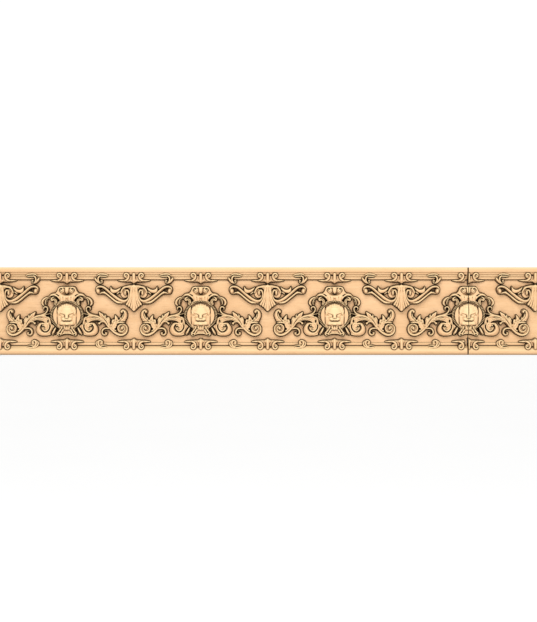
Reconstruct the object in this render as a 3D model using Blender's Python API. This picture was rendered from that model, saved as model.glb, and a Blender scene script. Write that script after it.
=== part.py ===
"""Carved wooden frieze in two butted lengths: lion roundels, acanthus scrolls, swags and edge mouldings.

The pattern repeats every 244 mm and is symmetric about each roundel and each swag, so one half repeat
is carved as a height over the field, thinned to large facets, and mirrored along the length.
"""
import math

import bmesh
import bpy
import numpy as np
from mathutils import Vector

# Driving sizes, in millimetres
HEIGHT = 160.0
HALF = 122.0
TOP_MOULDING = 22.2
TOP_LINES = (17.6, 13.8)
ROLL_WIDTH = 9.2
ROLL_CREST = 5.0
FOOT_MOULDING = 22.8
OVOLO_WIDTH = 17.2
OVOLO_CREST = 6.0
RING_CENTRE = (0.0, 72.2)
RING_REACH = (30.4, 26.8)
CORD_INNER = (25.3, 24.0)
CRESCENT_SIDE, CRESCENT_EASE = 17.8, 2.4
BEADS = 62

# Heights of the carving over the field, in millimetres
FILLET_TOP, FILLET_FALL = 9.2, 0.4
ROLL = 11.4
ROLL_FOOT = 10.2
ROLL_BEND = 2.0
OVOLO = 9.6
OVOLO_FOOT = 3.0
OVOLO_DROP = 6.0
FOOT_FILLET = 1.6
LOW, MID = 7.5, 10.0
SUNK = 7.0
SUNK_FOOT = 9.8
SUNK_ABOVE = 13.0
EYE_DEPTH = -2.5
CORD, BEAD = 8.4, 3.8
CRESCENT, CRESCENT_EDGE = 12.4, 11.2
NOSE = 17.6
SCORE = 0.9
SCORE_REACH = 0.55


def smooth_path(points, step=0.35):
    """Evenly stepped Catmull-Rom curve through a few points."""
    points = np.array(points, float)
    ends = np.vstack([2 * points[0] - points[1], points, 2 * points[-1] - points[-2]])
    t = (np.arange(16) / 16)[:, None]
    pieces = []
    for a, b, c, d in zip(ends, ends[1:], ends[2:], ends[3:]):
        bend, twist = 2 * a - 5 * b + 4 * c - d, 3 * b - a - 3 * c + d
        pieces.append(0.5 * (2 * b + (c - a) * t + bend * t**2 + twist * t**3))
    curve = np.vstack(pieces + [points[-1:]])
    length = np.concatenate([[0], np.cumsum(np.hypot(*np.diff(curve, axis=0).T))])
    at = np.linspace(0, length[-1], max(3, int(length[-1] / step)))
    return np.column_stack([np.interp(at, length, curve[:, 0]), np.interp(at, length, curve[:, 1])])


def ease_along(values, count):
    """One value, or a few spread along a path, as a value for each of its points."""
    values = np.atleast_1d(np.array(values, float))
    if len(values) == 1:
        return np.full(count, values[0])
    at = np.linspace(0, 1, count) * (len(values) - 1)
    first = np.minimum(at.astype(int), len(values) - 2)
    part = at - first
    part = part * part * (3 - 2 * part)
    return values[first] + (values[first + 1] - values[first]) * part


# Sections of a carved strand: t runs from 0 on its axis to 1 at its edge, side from -1 to 1 across it
def rounded(t, side):
    return np.sqrt(1 - t * t)


def veined(t, side):
    return np.sqrt(1 - t * t) - 0.3 * np.exp(-(t / 0.22) ** 2)


def left_lip(t, side):
    return np.sqrt(1 - t * t) * (0.68 + 0.32 * side)


def right_lip(t, side):
    return np.sqrt(1 - t * t) * (0.68 - 0.32 * side)


class Relief:
    """Height over the field on a grid that covers half a repeat, from a cartouche axis to a swag axis."""

    def __init__(self, step):
        columns = int(round(HALF / step)) + 1
        rows = int(round(HEIGHT / step)) + 1
        self.x, self.y = np.meshgrid(np.linspace(0, HALF, columns), np.linspace(0, HEIGHT, rows))
        self.z = np.zeros_like(self.x)

    def patch(self, low, high):
        left, right = np.searchsorted(self.x[0], (low[0], high[0]))
        foot, top = np.searchsorted(self.y[:, 0], (low[1], high[1]))
        return slice(max(foot - 1, 0), top + 1), slice(max(left - 1, 0), right + 1)

    def raise_to(self, box, inside, height):
        """Keep the higher of what is there and the new form."""
        z = self.z[box]
        z[inside] = np.maximum(z, height)[inside]

    def strand(self, points, wide, top, section=rounded, wall=0.45, groove=False):
        """A strand, or a groove of that depth, along points: wide is half its width, wall its steep part."""
        curve = smooth_path(points)
        wide = ease_along(wide, len(curve))
        top = ease_along(top, len(curve))
        reach = wide.max() + 0.5
        box = self.patch(curve.min(0) - reach, curve.max(0) + reach)
        x, y = self.x[box], self.y[box]
        if not x.size:
            return
        near_square = ((x[..., None] - curve[:, 0]) ** 2 + (y[..., None] - curve[:, 1]) ** 2) / wide**2
        near = near_square.argmin(-1)
        t = np.sqrt(np.take_along_axis(near_square, near[..., None], -1)[..., 0])
        inside = t < 1
        t = np.minimum(t, 1)
        way = np.gradient(curve, axis=0)
        way /= np.maximum(np.hypot(way[:, 0], way[:, 1]), 1e-9)[:, None]
        side = way[near, 0] * (y - curve[near, 1]) - way[near, 1] * (x - curve[near, 0])
        shape = section(t, np.clip(side / wide[near], -1, 1))
        if groove:
            z = self.z[box]
            z[inside] = np.maximum(z - top[near] * shape, 0)[inside]
        else:
            self.raise_to(box, inside, top[near] * (wall + (1 - wall) * shape))

    def boss_space(self, centre, radii, turn):
        reach = max(radii) + 0.5
        box = self.patch((centre[0] - reach, centre[1] - reach), (centre[0] + reach, centre[1] + reach))
        x, y = self.x[box] - centre[0], self.y[box] - centre[1]
        angle = math.radians(turn)
        along = (x * math.cos(angle) + y * math.sin(angle)) / radii[0]
        across = (y * math.cos(angle) - x * math.sin(angle)) / radii[1]
        return box, along**2 + across**2

    def boss(self, centre, radii, top, base=0.0, turn=0.0):
        """A domed form: an ellipsoid that stands on base."""
        box, square = self.boss_space(centre, radii, turn)
        shape = np.sqrt(1 - np.minimum(square, 1))
        self.raise_to(box, square < 1, base + (top - base) * shape)

    def swell(self, centre, radii, rise, turn=0.0):
        """A soft rise, or a hollow, that fades to nothing at its edge."""
        box, square = self.boss_space(centre, radii, turn)
        self.z[box] += rise * (1 - np.minimum(square, 1)) ** 2

    def pocket(self, centre, radii, floor, turn=0.0):
        """A steep hole down to floor."""
        box, square = self.boss_space(centre, radii, turn)
        z = self.z[box]
        inside = square < 1
        z[inside] = np.minimum(z, floor)[inside]

    def soften(self, low, high, reach):
        """Round the carving off within a rectangle, by a blur of that reach; the mirror planes stay whole."""
        box = self.patch(low, high)
        step = self.x[0, 1] - self.x[0, 0]
        count = int(3 * reach / step) + 1
        at = np.arange(-count, count + 1) * step
        weight = np.exp(-(at / reach) ** 2 / 2)
        weight /= weight.sum()
        rows, columns = box
        wide = np.pad(self.z, count, "reflect")
        part = wide[rows.start:rows.stop + 2 * count, columns.start:columns.stop + 2 * count]
        part = np.array([np.convolve(line, weight, "valid") for line in part])
        part = np.array([np.convolve(line, weight, "valid") for line in part.T]).T
        self.z[box] = part[:self.z[box].shape[0], :self.z[box].shape[1]]

    def mass(self, outline, top, wall=0.6, ease=2.0):
        """A form with a closed smooth outline, rounded over within ease of its edge."""
        curve = smooth_path(list(outline) + [outline[0]], 0.5)
        box = self.patch(curve.min(0) - 0.5, curve.max(0) + 0.5)
        x, y = self.x[box][..., None], self.y[box][..., None]
        if not x.size:
            return
        x0, y0 = curve[:-1].T
        x1, y1 = curve[1:].T
        level = np.where(y1 == y0, 1e-9, y1 - y0)
        crossed = ((y0 > y) != (y1 > y)) & (x < x0 + (y - y0) * (x1 - x0) / level)
        inside = crossed.sum(-1) % 2 == 1
        gap = np.sqrt(((x - curve[:, 0]) ** 2 + (y - curve[:, 1]) ** 2).min(-1))
        shape = np.sqrt(1 - (1 - np.clip(gap / ease, 0, 1)) ** 2)
        self.raise_to(box, inside, top * (wall + (1 - wall) * shape))


def scored(height, edge, lines):
    """Fine grooves along the moulding."""
    for line in lines:
        height = height - SCORE * np.exp(-((edge - line) / SCORE_REACH) ** 2)
    return height


def top_moulding(edge):
    """An outer roll, then fillets that fall away to the step; edge is the distance from the edge."""
    fillet = FILLET_TOP - FILLET_FALL * (edge - ROLL_WIDTH)
    height = np.where(edge < TOP_MOULDING, fillet, 0.0)
    roll = ROLL - (ROLL - ROLL_FOOT) * np.abs((edge - ROLL_CREST) / (ROLL_WIDTH - ROLL_CREST)) ** ROLL_BEND
    height = np.where(edge < ROLL_WIDTH, roll, height)
    return scored(height, edge, TOP_LINES)


def foot_moulding(edge):
    """One low fillet at the field, then a broad ovolo that rounds over to the edge."""
    height = np.where(edge < FOOT_MOULDING, FOOT_FILLET, 0.0)
    slope = np.clip((edge - OVOLO_CREST) / (OVOLO_WIDTH - OVOLO_CREST), 0, 1)
    turn = np.clip(1 - edge / OVOLO_CREST, 0, 1)
    ovolo = OVOLO - (OVOLO - OVOLO_FOOT) * slope**2 - OVOLO_DROP * turn**ROLL_BEND
    height = np.where(edge < OVOLO_WIDTH, ovolo, height)
    return scored(height, edge, (OVOLO_WIDTH,))


def cut_mouldings(relief):
    relief.z = np.maximum(top_moulding(HEIGHT - relief.y), foot_moulding(relief.y))


def fleur(relief, axis, way, at_foot):
    """Lily on the moulding: half of its pointed lobe, its volute and the tail along the step."""
    def place(points):
        if at_foot:
            return [(axis + way * x, edge * FOOT_MOULDING / TOP_MOULDING) for x, edge in points]
        return [(axis + way * x, HEIGHT - edge) for x, edge in points]
    tail = right_lip if (way > 0) == at_foot else left_lip
    drop = 0.4 if at_foot else 0.0
    relief.mass(place([(-6, 12.6), (0, 12.6), (5.4, 13.0), (9.4, 15.4), (10.6, 20.6), (8, 25), (0, 26),
                       (-6, 26)]), 7.0 - drop, 0.9, 1.0)
    relief.strand(place([(3.0, 24.2), (10, 24.5), (20, 24.3), (29, 23.8)]), (2.4, 2.0, 1.8, 0.9),
                  (LOW, LOW, 7.0, 5.0), tail, 0.6)
    relief.boss(place([(13.4, 15.4)])[0], (5.2, 5.0), 9.2, 8.8)
    relief.strand(place([(21, 24.0), (15.4, 23.8), (11.0, 21.0), (9.3, 16.8), (10.4, 12.8), (13.6, 11.2),
                         (16.8, 12.8), (17.0, 15.8), (15.0, 17.4)]),
                  (0.8, 1.8, 2.0, 1.8, 1.7, 1.6, 1.4, 1.2),
                  (6.0 - drop, 10.0 - drop, 11.4 - drop, 12.0, 12.2, 11.8), wall=0.84)
    relief.boss(place([(14.2, 15.2)])[0], (1.8, 1.9), 12.2, 8.0)
    relief.mass(place([(-6, 19.0), (0, 19.0), (3.0, 20.6), (6.6, 23.8), (6.4, 26.0), (3.2, 27.8),
                       (0, 30.0), (-6, 30.0)]), 9.8 - drop, 0.72, 2.6)
    relief.strand(place([(0, 12.8), (0, 16.8), (0, 20.8), (0, 24.6), (0, 28.0)]),
                  (2.9, 3.1, 3.1, 2.8, 1.2), (13.0, 13.0, 12.8 - drop, 12.0 - drop, 9.6 - drop),
                  wall=0.84)
    relief.pocket(place([(5.2, 14.6)])[0], (1.7, 1.4), 4.0)
    low, high = sorted(y for _, y in place([(0, 8.9), (0, 31)]))
    relief.soften((min(axis, axis + 7 * way), low), (max(axis, axis + 7 * way), high), 0.35)


def clasps(relief):
    """Small leaf clasps midway, one on each moulding."""
    relief.strand([(51, 140.5), (52.6, 137.6), (56.2, 133.6), (59.8, 130.8)], (1.6, 2.4, 2.2, 1.2),
                  (9.4, 9.6, 9.2, 8.0), wall=0.6)
    relief.strand([(60.4, 144.6), (57.6, 141.8), (56.8, 137.6), (58.6, 133.4), (60.4, 131.8)],
                  (1.4, 1.8, 1.8, 1.6, 1.0), (10.2, 10.8, 10.6, 9.8, 8.6), wall=0.65)
    relief.strand([(54.6, 145.0), (59, 147.4), (65, 147.8), (71, 146.8), (76, 144.8)],
                  (0.8, 1.3, 1.4, 1.2, 0.5), (9.2, 10.2, 10.4, 9.8, 8.8), wall=0.85)
    relief.strand([(60.4, 144.0), (65.6, 143.8), (71.5, 143.8), (75, 144.8)], (1.2, 1.3, 1.2, 0.5),
                  (10.2, 9.8, 9.2, 8.4), wall=0.8)
    relief.strand([(61, 142.4), (59.4, 139), (59.2, 135.6)], (0.6, 0.8, 0.6), (1.2, 2.4, 1.6),
                  groove=True)
    relief.strand([(62, 142.0), (68, 141.7), (74, 142.3)], 0.6, (1.2, 1.6, 0.8), groove=True)
    relief.boss((62.2, 135.2), (1.6, 1.9), 9.0, 5.0)
    relief.strand([(60.6, 131.4), (63.2, 131.6), (64.4, 134.4), (63.6, 137.6)], (1.2, 1.1, 1.0, 0.8),
                  (8.2, 8.2, 8.0, 7.6), wall=0.6)
    relief.pocket((52.6, 142.5), (1.0, 0.7), 6.2)
    relief.mass([(51.4, 21), (53, 24.6), (56.6, 27.2), (60, 27.8), (63.4, 26.4), (65.2, 23.0), (64.4, 18),
                 (58, 16), (53, 17.6)], 4.6, 0.8, 1.0)
    relief.strand([(63, 25.4), (60.4, 26.6), (57.6, 25.4), (56.6, 22.2), (57.4, 18.6), (60, 15.8),
                   (64, 14.2)], (1.0, 1.5, 1.7, 1.7, 1.7, 1.6, 1.2), (5.6, 6.4, 6.8, 7.2, 8.0, 8.6, 8.6),
                  wall=0.7)
    relief.strand([(62.6, 26.2), (64.2, 24.4), (63.2, 21.6), (61.2, 19.6)], (1.0, 1.1, 1.0, 0.6),
                  (5.6, 5.8, 6.0, 6.0), wall=0.7)
    relief.pocket((60.1, 23.4), (0.7, 1.8), 2.2)
    relief.strand([(53.6, 24.2), (52.8, 21), (54.2, 17.4), (57.4, 14.6), (62, 13)],
                  (1.0, 1.5, 1.6, 1.4, 0.8), (4.8, 5.6, 7.0, 8.2, 8.6), wall=0.75)
    relief.strand([(62, 16.8), (67, 18.0), (72.6, 17.6)], (0.9, 1.2, 0.6), (6.6, 6.0, 4.4), wall=0.8)
    relief.strand([(62, 14.4), (67.5, 13.6), (73.4, 14.8)], (1.0, 1.3, 0.6), (8.6, 8.4, 7.0), wall=0.85)


def feathers(relief):
    """Plumes and C-scroll that spring from the cartouche's shoulder."""
    relief.mass([(27, 104), (30, 107), (35, 106.6), (41.5, 103), (45.4, 97), (43.6, 91.4), (38, 90.8),
                 (36.4, 94), (36.6, 99), (33.6, 102.2)], 4.4, 0.8)
    relief.strand([(12.4, 99.4), (14.6, 104.2), (18, 108.0), (23, 110.4), (28.4, 109.8), (33.4, 106.4)],
                  (1.8, 2.1, 2.4, 2.3, 0.9), (10.5, 11, 11.5, 11.5, 8), right_lip, 0.5)
    relief.strand([(20.5, 106.2), (25, 105.2), (28.2, 102.8), (28.0, 100.2), (25.6, 99.8)],
                  (0.7, 1.4, 1.8, 1.9, 1.6), (9, 11, 12, 12, 11.5), wall=0.5)
    relief.strand([(21.4, 93.2), (19.9, 97.4), (21.8, 101.0), (26.4, 101.8)], (2.4, 2.9, 2.6, 1.2),
                  (11, 12.8, 13, 11.5), veined, 0.5)
    relief.strand([(11.6, 97.8), (14.5, 96.6), (17.6, 93.8)], (1.6, 1.6, 1.6), (10, 10, 9.5), wall=0.5)
    relief.strand([(14.6, 99.0), (16.0, 101.6), (19.4, 104.0), (23.6, 104.6)], (1.2, 1.4, 1.2, 0.6),
                  (9, 10, 8, 5), groove=True)
    relief.strand([(33, 105.4), (37.4, 104.4), (41.8, 101.6), (44.4, 97.6), (44.6, 93.8), (42.2, 90.6)],
                  (0.8, 1.8, 2.3, 2.5, 2.4, 1.4), (7.5, 10, 11.5, 12, 11.5, 10), left_lip, 0.5)
    relief.strand([(33.6, 103.8), (37.0, 102.2), (39.0, 98.6), (39.4, 94.6), (38.6, 91.6)],
                  (0.7, 1.2, 1.3, 1.3, 0.8), (7, 9, 9.6, 9.6, 8.6), wall=0.5)
    relief.strand([(35.4, 101.2), (36.8, 98), (37.2, 94.4)], (0.6, 0.8, 0.6), (7, 8, 7), wall=0.5)
    relief.strand([(47, 73.4), (41.0, 75.0), (37.0, 78.6), (35.2, 83.0), (36.2, 86.8), (39.4, 88.2),
                   (42.4, 86.4), (42.2, 83.4)], (1.5, 1.8, 1.7, 1.7, 1.6, 1.6, 1.5, 1.3),
                  (9.5, 10, 10.5, 11, 11, 11, 11, 10.5), wall=0.5)
    relief.pocket((39.0, 84.4), (1.1, 2.0), 0.0, 20)
    relief.strand([(29.5, 76.4), (34, 74.9), (39, 74.0), (45, 73.2)], (0.9, 1.0, 1.2, 1.6), MID, wall=0.5)


def crest(relief):
    """Softly fluted neck over the ring, with a bud between two volutes."""
    relief.mass([(-6, 94), (0, 94), (11.6, 95), (13.2, 100), (15.4, 106), (20.4, 112.2), (18.2, 117),
                 (15.6, 123.0), (11.4, 124.8), (0, 124.9), (-6, 124.9)], 9.4, 0.85, 1.2)
    for foot, lean in ((4.4, 1.0), (9.4, 2.4)):
        relief.strand([(foot, 96.5), (foot + lean * 0.2, 103), (foot + lean, 109)], (2.8, 2.7, 2.2),
                      (11.4, 11.2, 9.6), wall=0.84)
    relief.swell((0, 102.2), (2.4, 2.6), -1.6)
    relief.swell((0, 111.5), (14.0, 4.0), -6.0)
    relief.strand([(0, 123.5), (6, 123.7), (11, 123.4), (14.6, 121.0), (16.2, 117.2), (18.2, 114),
                   (22, 111.6)], (1.2, 1.2, 1.3, 1.5, 1.5, 1.6, 1.0),
                  (11.4, 11.4, 11.4, 11.2, 10.6, 10, 8), wall=0.85)
    relief.boss((8.7, 118.0), (5.0, 4.9), 13.2, 9.4)
    relief.strand([(12.0, 121.4), (13.4, 118.2), (12.2, 114.8)], (0.5, 0.6, 0.5), (1.0, 1.6, 1.6),
                  groove=True)
    relief.strand([(10.4, 120.4), (11.2, 117.4), (9.0, 115.6), (6.8, 117.0), (7.6, 119.0)],
                  (0.5, 0.5, 0.5, 0.5, 0.4), (1.6, 1.2, 1.0, 1.0, 0.6), groove=True)
    relief.strand([(0, 120.6), (0, 117.4), (0, 114.2)], (4.2, 3.9, 2.4), (13.4, 14.0, 12.6), wall=0.76)
    relief.pocket((9.9, 120.8), (1.7, 0.9), 2.0, 6)
    relief.strand([(15.2, 108.0), (18.8, 110.8)], (0.9, 0.6), (5, 3), groove=True)


def spray(relief):
    """Stems that sweep from the ring over the big volute into the leaf."""
    relief.mass([(28, 56), (29, 66), (33, 69.9), (39, 72.4), (47, 74.0), (56, 73.0), (64, 69.5), (72, 62),
                 (72, 57), (64, 61.8), (56, 63.8), (48, 63.6), (41, 59.8), (36, 54)], 8.8, 0.8, 1.2)
    relief.strand([(31.4, 65.8), (35.6, 69.4), (42, 71.4), (49.4, 71.6), (56, 70.2), (62, 67.0),
                   (68, 62.8), (73, 58.0)], (1.7, 2.1, 2.4, 2.5, 2.4, 2.2, 1.8, 1.4),
                  (10.5, 11.4, 11.6, 11.6, 11.2, 10.5, 10))
    relief.strand([(38.4, 60.8), (42.2, 65.0), (49, 67.6), (56, 67.0), (62, 64.6), (68, 60.4), (72, 56.6)],
                  (0.9, 1.5, 1.9, 1.9, 1.7, 1.4, 1.0), (9.5, 10.8, 11.2, 11, 10.6, 10, 9.5))
    relief.strand([(39.6, 59.6), (45.6, 63.4), (52.6, 64.6), (60, 63.2), (66, 60.2)],
                  (0.6, 1.0, 1.1, 1.0, 0.7), (8, 9, 9.2, 9, 8))
    relief.strand([(38.4, 58.8), (44.6, 62.0), (51, 62.7), (58, 61.8)], (0.5, 0.8, 0.9, 0.6),
                  (6, 7.4, 7.6, 7))
    relief.strand([(29.6, 56), (31.0, 61), (32.4, 66)], (1.5, 2.2, 1.8), 11.2, wall=0.55)
    relief.strand([(36.2, 56.5), (36.8, 60.6), (36.8, 64.8)], (1.2, 1.4, 1.2), MID, wall=0.55)
    relief.strand([(55.6, 73.2), (59, 72.0), (62.4, 70.0), (66, 66.6)], (0.4, 1.1, 1.0, 0.3), (5, 9, 9, 4),
                  groove=True)
    relief.pocket((34.6, 61.9), (0.7, 2.4), 2.5, 6)
    relief.pocket((34.6, 71.6), (3.2, 1.4), 0.0, -4)


def big_volute(relief):
    """Broad scroll under the spray with a curled leaf in its eye, and the leaves between it and the ring."""
    relief.mass([(20.6, 50), (25, 55.4), (30, 57.4), (36, 58.4), (43, 59.6), (50, 58.8), (54.4, 53.6),
                 (56.8, 47), (55.4, 41), (50.6, 36.4), (44, 35.2), (36.4, 35.4), (31, 36.6), (28.8, 38.6),
                 (26.4, 36.0), (22.4, 42)], 8.0, 0.8, 1.4)
    relief.strand([(34.6, 38.8), (40.6, 38.4), (46.6, 39.6), (51.2, 43.8), (52.4, 49.4), (50, 54.4),
                   (45.2, 57.4), (40, 57.4)], (3.0, 3.4, 4.0, 4.2, 3.6, 2.8, 2.0, 1.6),
                  (9.5, 11, 11.8, 12.2, 12.2, 12, 11.6, 10.8), left_lip, 0.6)
    relief.strand([(28.6, 55.6), (28.4, 50.6), (30.6, 45.4), (34.4, 40.8), (39.4, 38.2)],
                  (1.6, 2.0, 2.1, 2.0, 1.4), (9.5, 10, 10, 10, 9.5), wall=0.7)
    relief.boss((38.9, 50.0), (8.2, 8.4), 9.6, 8.0)
    relief.strand([(40.2, 58.4), (35.2, 56.8), (33.2, 51.6), (35, 46.6), (39.6, 44.2), (43.4, 46.4)],
                  (1.3, 1.7, 1.9, 1.8, 1.7, 1.2), (10, 10.6, 10.8, 11, 11, 10.4), wall=0.65)
    relief.strand([(46.4, 56.2), (47.4, 51.6), (46.2, 46.4), (41.6, 42.4), (36.2, 43.4), (31.8, 48),
                   (30.8, 54)], (0.5, 0.8, 0.8, 0.8, 0.8, 0.8, 0.5), (3.0, 3.6, 3.6, 3.4, 3.4, 3.4, 2.4),
                  groove=True)
    for lump, radii in (((39.2, 51.4), (1.7, 1.5)), ((42.2, 49.4), (1.7, 1.9)), ((43.6, 53.6), (1.5, 2.2)),
                        ((40.2, 47.4), (1.4, 1.2))):
        relief.boss(lump, radii, 11.8, 7.0)
    relief.strand([(45.6, 55.4), (44.6, 51.2), (41.8, 52.4), (41.0, 50.0)], (0.5, 0.7, 0.6, 0.4),
                  (1.6, 3.2, 2.6, 1.4), groove=True)
    relief.strand([(23.2, 50.2), (25.4, 46.4), (28.0, 42.2), (30.0, 39.6)], (0.8, 1.0, 0.9, 0.5),
                  (8, 8, 6, 3), groove=True)
    relief.strand([(20.2, 49.6), (22.0, 46.4), (24.2, 42.2), (27.0, 38.2)], (1.3, 2.0, 2.1, 1.0),
                  (13, 13.8, 13, 10), wall=0.75)
    relief.pocket((20.6, 40.0), (1.3, 4.6), EYE_DEPTH, 36)
    relief.pocket((17.6, 44.0), (2.0, 1.6), EYE_DEPTH, -20)
    relief.pocket((28.4, 38.9), (0.9, 0.7), 3.0, 40)


def cartouche_foot(relief):
    """Crossed straps and curls under the ring."""
    relief.mass([(-6, 38.2), (0, 38.2), (5, 38.0), (9.4, 36.6), (13, 35.2), (17.0, 35.6), (18.2, 38.6),
                 (16.4, 42.6), (15, 47), (17, 54), (0, 54), (-6, 54)], 7.4, 0.8, 1.4)
    relief.strand([(5.4, 47.2), (8.4, 44.2), (10.4, 40.6), (11.6, 36.8)], (1.7, 1.7, 1.5, 1.1),
                  (10.0, 10.2, 10.0, 9.4), wall=0.75)
    relief.strand([(10.6, 50.4), (11.8, 46.2), (14.4, 43.0), (17.0, 40.4), (16.4, 37.0), (13.8, 36.6),
                   (12.4, 39.4)], (1.8, 1.9, 1.8, 1.7, 1.5, 1.3, 1.1),
                  (10.6, 11, 11.4, 11.4, 11, 10.6, 10.2), wall=0.65)
    relief.boss((14.8, 39.6), (2.2, 2.0), 11.4, 6.0)
    relief.strand([(0, 40.2), (5, 40.0), (9, 38.4)], (1.4, 1.4, 1.0), (9.2, 9.2, 8.8), wall=0.8)
    relief.pocket((13.6, 37.5), (1.1, 0.9), 2.0)


def acanthus(relief):
    """Broad leaf at the end of the spray: two lobed halves either side of a slit."""
    relief.mass([(57.2, 79.6), (61.4, 76.6), (65.6, 73.2), (68.6, 74.8), (70.4, 72.0), (72.2, 69.2),
                 (75.4, 69.8), (78.2, 66.8), (79, 61), (80.2, 57), (81.6, 61.6), (83.6, 66.0),
                 (86.4, 66.6), (87.8, 69.6), (86.6, 73.8), (90.4, 71.2), (94, 66.4), (96.4, 66.4),
                 (98.6, 70.0), (100, 65), (95, 60.6), (90, 57), (87, 51), (85, 44), (78, 46.5),
                 (72.6, 52.4), (68, 58), (63, 62.4), (59.6, 67), (58.8, 71.6), (57.4, 76.2)], 8.6, 0.6,
                2.4)
    for tip, bend in (((58.2, 78.8), (67.6, 70.2)), ((69.2, 73.8), (73.0, 66.2)), ((75.4, 68.8), (77.0,
                                                                                                  62.6))):
        relief.strand([tip, bend, (75.6, 59), (78.6, 50.5)], (0.7, 2.2, 2.4, 2.0), (8.4, 11.0, 11.6, 10.5),
                      veined, 0.62)
    for tip, bend in (((83.6, 65.4), (82.8, 60.4)), ((87.2, 72.6), (88.6, 65.6)), ((98.4, 69.2), (94,
                                                                                                  63.0))):
        relief.strand([tip, bend, (86.4, 57), (81.4, 49.4)], (0.7, 2.1, 2.4, 2.0), (8.4, 10.8, 11.4, 10.5),
                      veined, 0.62)
    relief.strand([(81.6, 68.5), (80.6, 62), (80, 57.0)], (1.8, 1.0, 0.7), (12, 11, 9), groove=True)
    relief.strand([(59, 57.9), (62, 60.6), (67, 61), (70.6, 59), (73.4, 55), (76.5, 51)],
                  (1.5, 1.6, 1.8, 2.1, 2.4), (9, 9.5, 10, 10.5, 10.5), wall=0.5)
    relief.boss((58.8, 57.8), (2.7, 2.7), 10.5, 4.0)
    relief.mass([(98.4, 62.0), (99.4, 68.0), (101.4, 73.0), (102.0, 76.4), (104.6, 75.6), (105.4, 70.0),
                 (103.4, 64.4), (101, 61.6)], 9.8, 0.8, 1.2)
    relief.strand([(89, 57.0), (94.5, 59.4), (100, 59.8), (105, 58.8)], (1.5, 2.1, 2.1, 1.0),
                  (9.5, 11, 11.2, 9))
    relief.strand([(97, 60.5), (102.8, 64.8), (106.2, 70), (106.8, 75.6), (104.6, 80.0), (101.4, 81.4),
                   (99, 79.4)], (2.2, 3.2, 3.6, 3.4, 2.8, 2.3, 2.2), (9.5, 10.8, 11.8, 12, 12, 12, 11.6),
                  left_lip, 0.6)
    relief.boss((99.9, 79.2), (3.1, 3.3), 12.8, 5.0)
    relief.strand([(102.8, 79.8), (103.8, 75.4), (103.4, 71.4), (101.2, 67.0), (97.6, 64.0)],
                  (0.6, 0.5, 0.5, 0.5, 0.4), (2.4, 1.2, 1.0, 1.0, 0.6), groove=True)
    relief.boss((104.6, 62.6), (2.3, 1.7), 9.0, 3.0, 20)
    for eye, radii in (((67.4, 73.0), (1.0, 1.2)), ((72.2, 69.4), (1.3, 1.1)), ((85.4, 66.4), (1.5, 1.4)),
                       ((94.6, 66.0), (1.6, 1.4)), ((99.6, 72.8), (1.4, 1.2)), ((80.3, 61.6), (0.8, 4.4))):
        relief.pocket(eye, radii, EYE_DEPTH)


def end_volute(relief):
    """Scroll of two turns that closes the spray below the swag, and its small counter curl."""
    relief.boss((99.4, 49.0), (9.0, 9.4), 7.0, 6.6)
    relief.mass([(82, 47.4), (86, 44.4), (90.6, 42.8), (89.6, 46.6), (90.0, 51.4), (92.6, 55.6),
                 (90.4, 58.2), (85, 56), (82, 52)], 9.8, 0.7, 1.8)
    relief.strand([(75, 54.0), (80, 48.6), (87, 41.8), (94, 37.8), (100.6, 37.2), (106.4, 40.2),
                   (109.2, 46.4), (107.8, 52.6), (103.2, 56.0), (98.2, 55.8)],
                  (2.4, 2.8, 2.8, 2.6, 2.4, 2.2, 1.9, 1.6, 1.4),
                  (10.8, 11, 11, 10.8, 10.6, 10.6, 10.4, 10.2, 10), right_lip, 0.5)
    relief.strand([(99, 56.0), (94.6, 53.6), (93.0, 49.2), (94.6, 44.8), (99.2, 42.6), (103.6, 44.6),
                   (104.8, 48.6), (102.6, 52.0), (99.6, 52.6)],
                  (1.5, 1.6, 1.7, 1.6, 1.5, 1.4, 1.4, 1.3, 1.1),
                  (9.8, 9.6, 9.4, 9.2, 9.2, 9.4, 10.0, 10.6, 10.6), wall=0.7)
    relief.boss((100.4, 49.2), (3.4, 3.5), 12.4, 6.0)
    relief.strand([(97.2, 48.4), (98.4, 51.6), (101.4, 52.4)], (0.5, 0.6, 0.4), (2.4, 2.6, 1.4),
                  groove=True)
    relief.pocket((93.0, 55.9), (2.4, 1.2), 0.0, 32)
    relief.pocket((88.4, 47.6), (1.3, 1.5), 1.5, 20)
    relief.strand([(78, 49.0), (72.4, 49.2), (67.4, 48.2), (64.2, 44.6), (64.0, 39.8), (67.2, 36.9),
                   (71.4, 37.6), (72.8, 40.6)], (2.2, 1.9, 1.8, 1.9, 1.9, 1.8, 1.6, 1.3),
                  (10.4, 10, 9.8, 9.8, 9.4, 9.2, 9.2), left_lip, 0.5)
    relief.boss((70.6, 40.2), (2.0, 2.2), 9.8, 4.0)
    relief.strand([(74.6, 46.2), (69.4, 45.6), (67.6, 42.6), (67.6, 39.6)], (0.5, 0.9, 0.9, 0.5),
                  (2, 4, 4, 2), groove=True)


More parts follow.
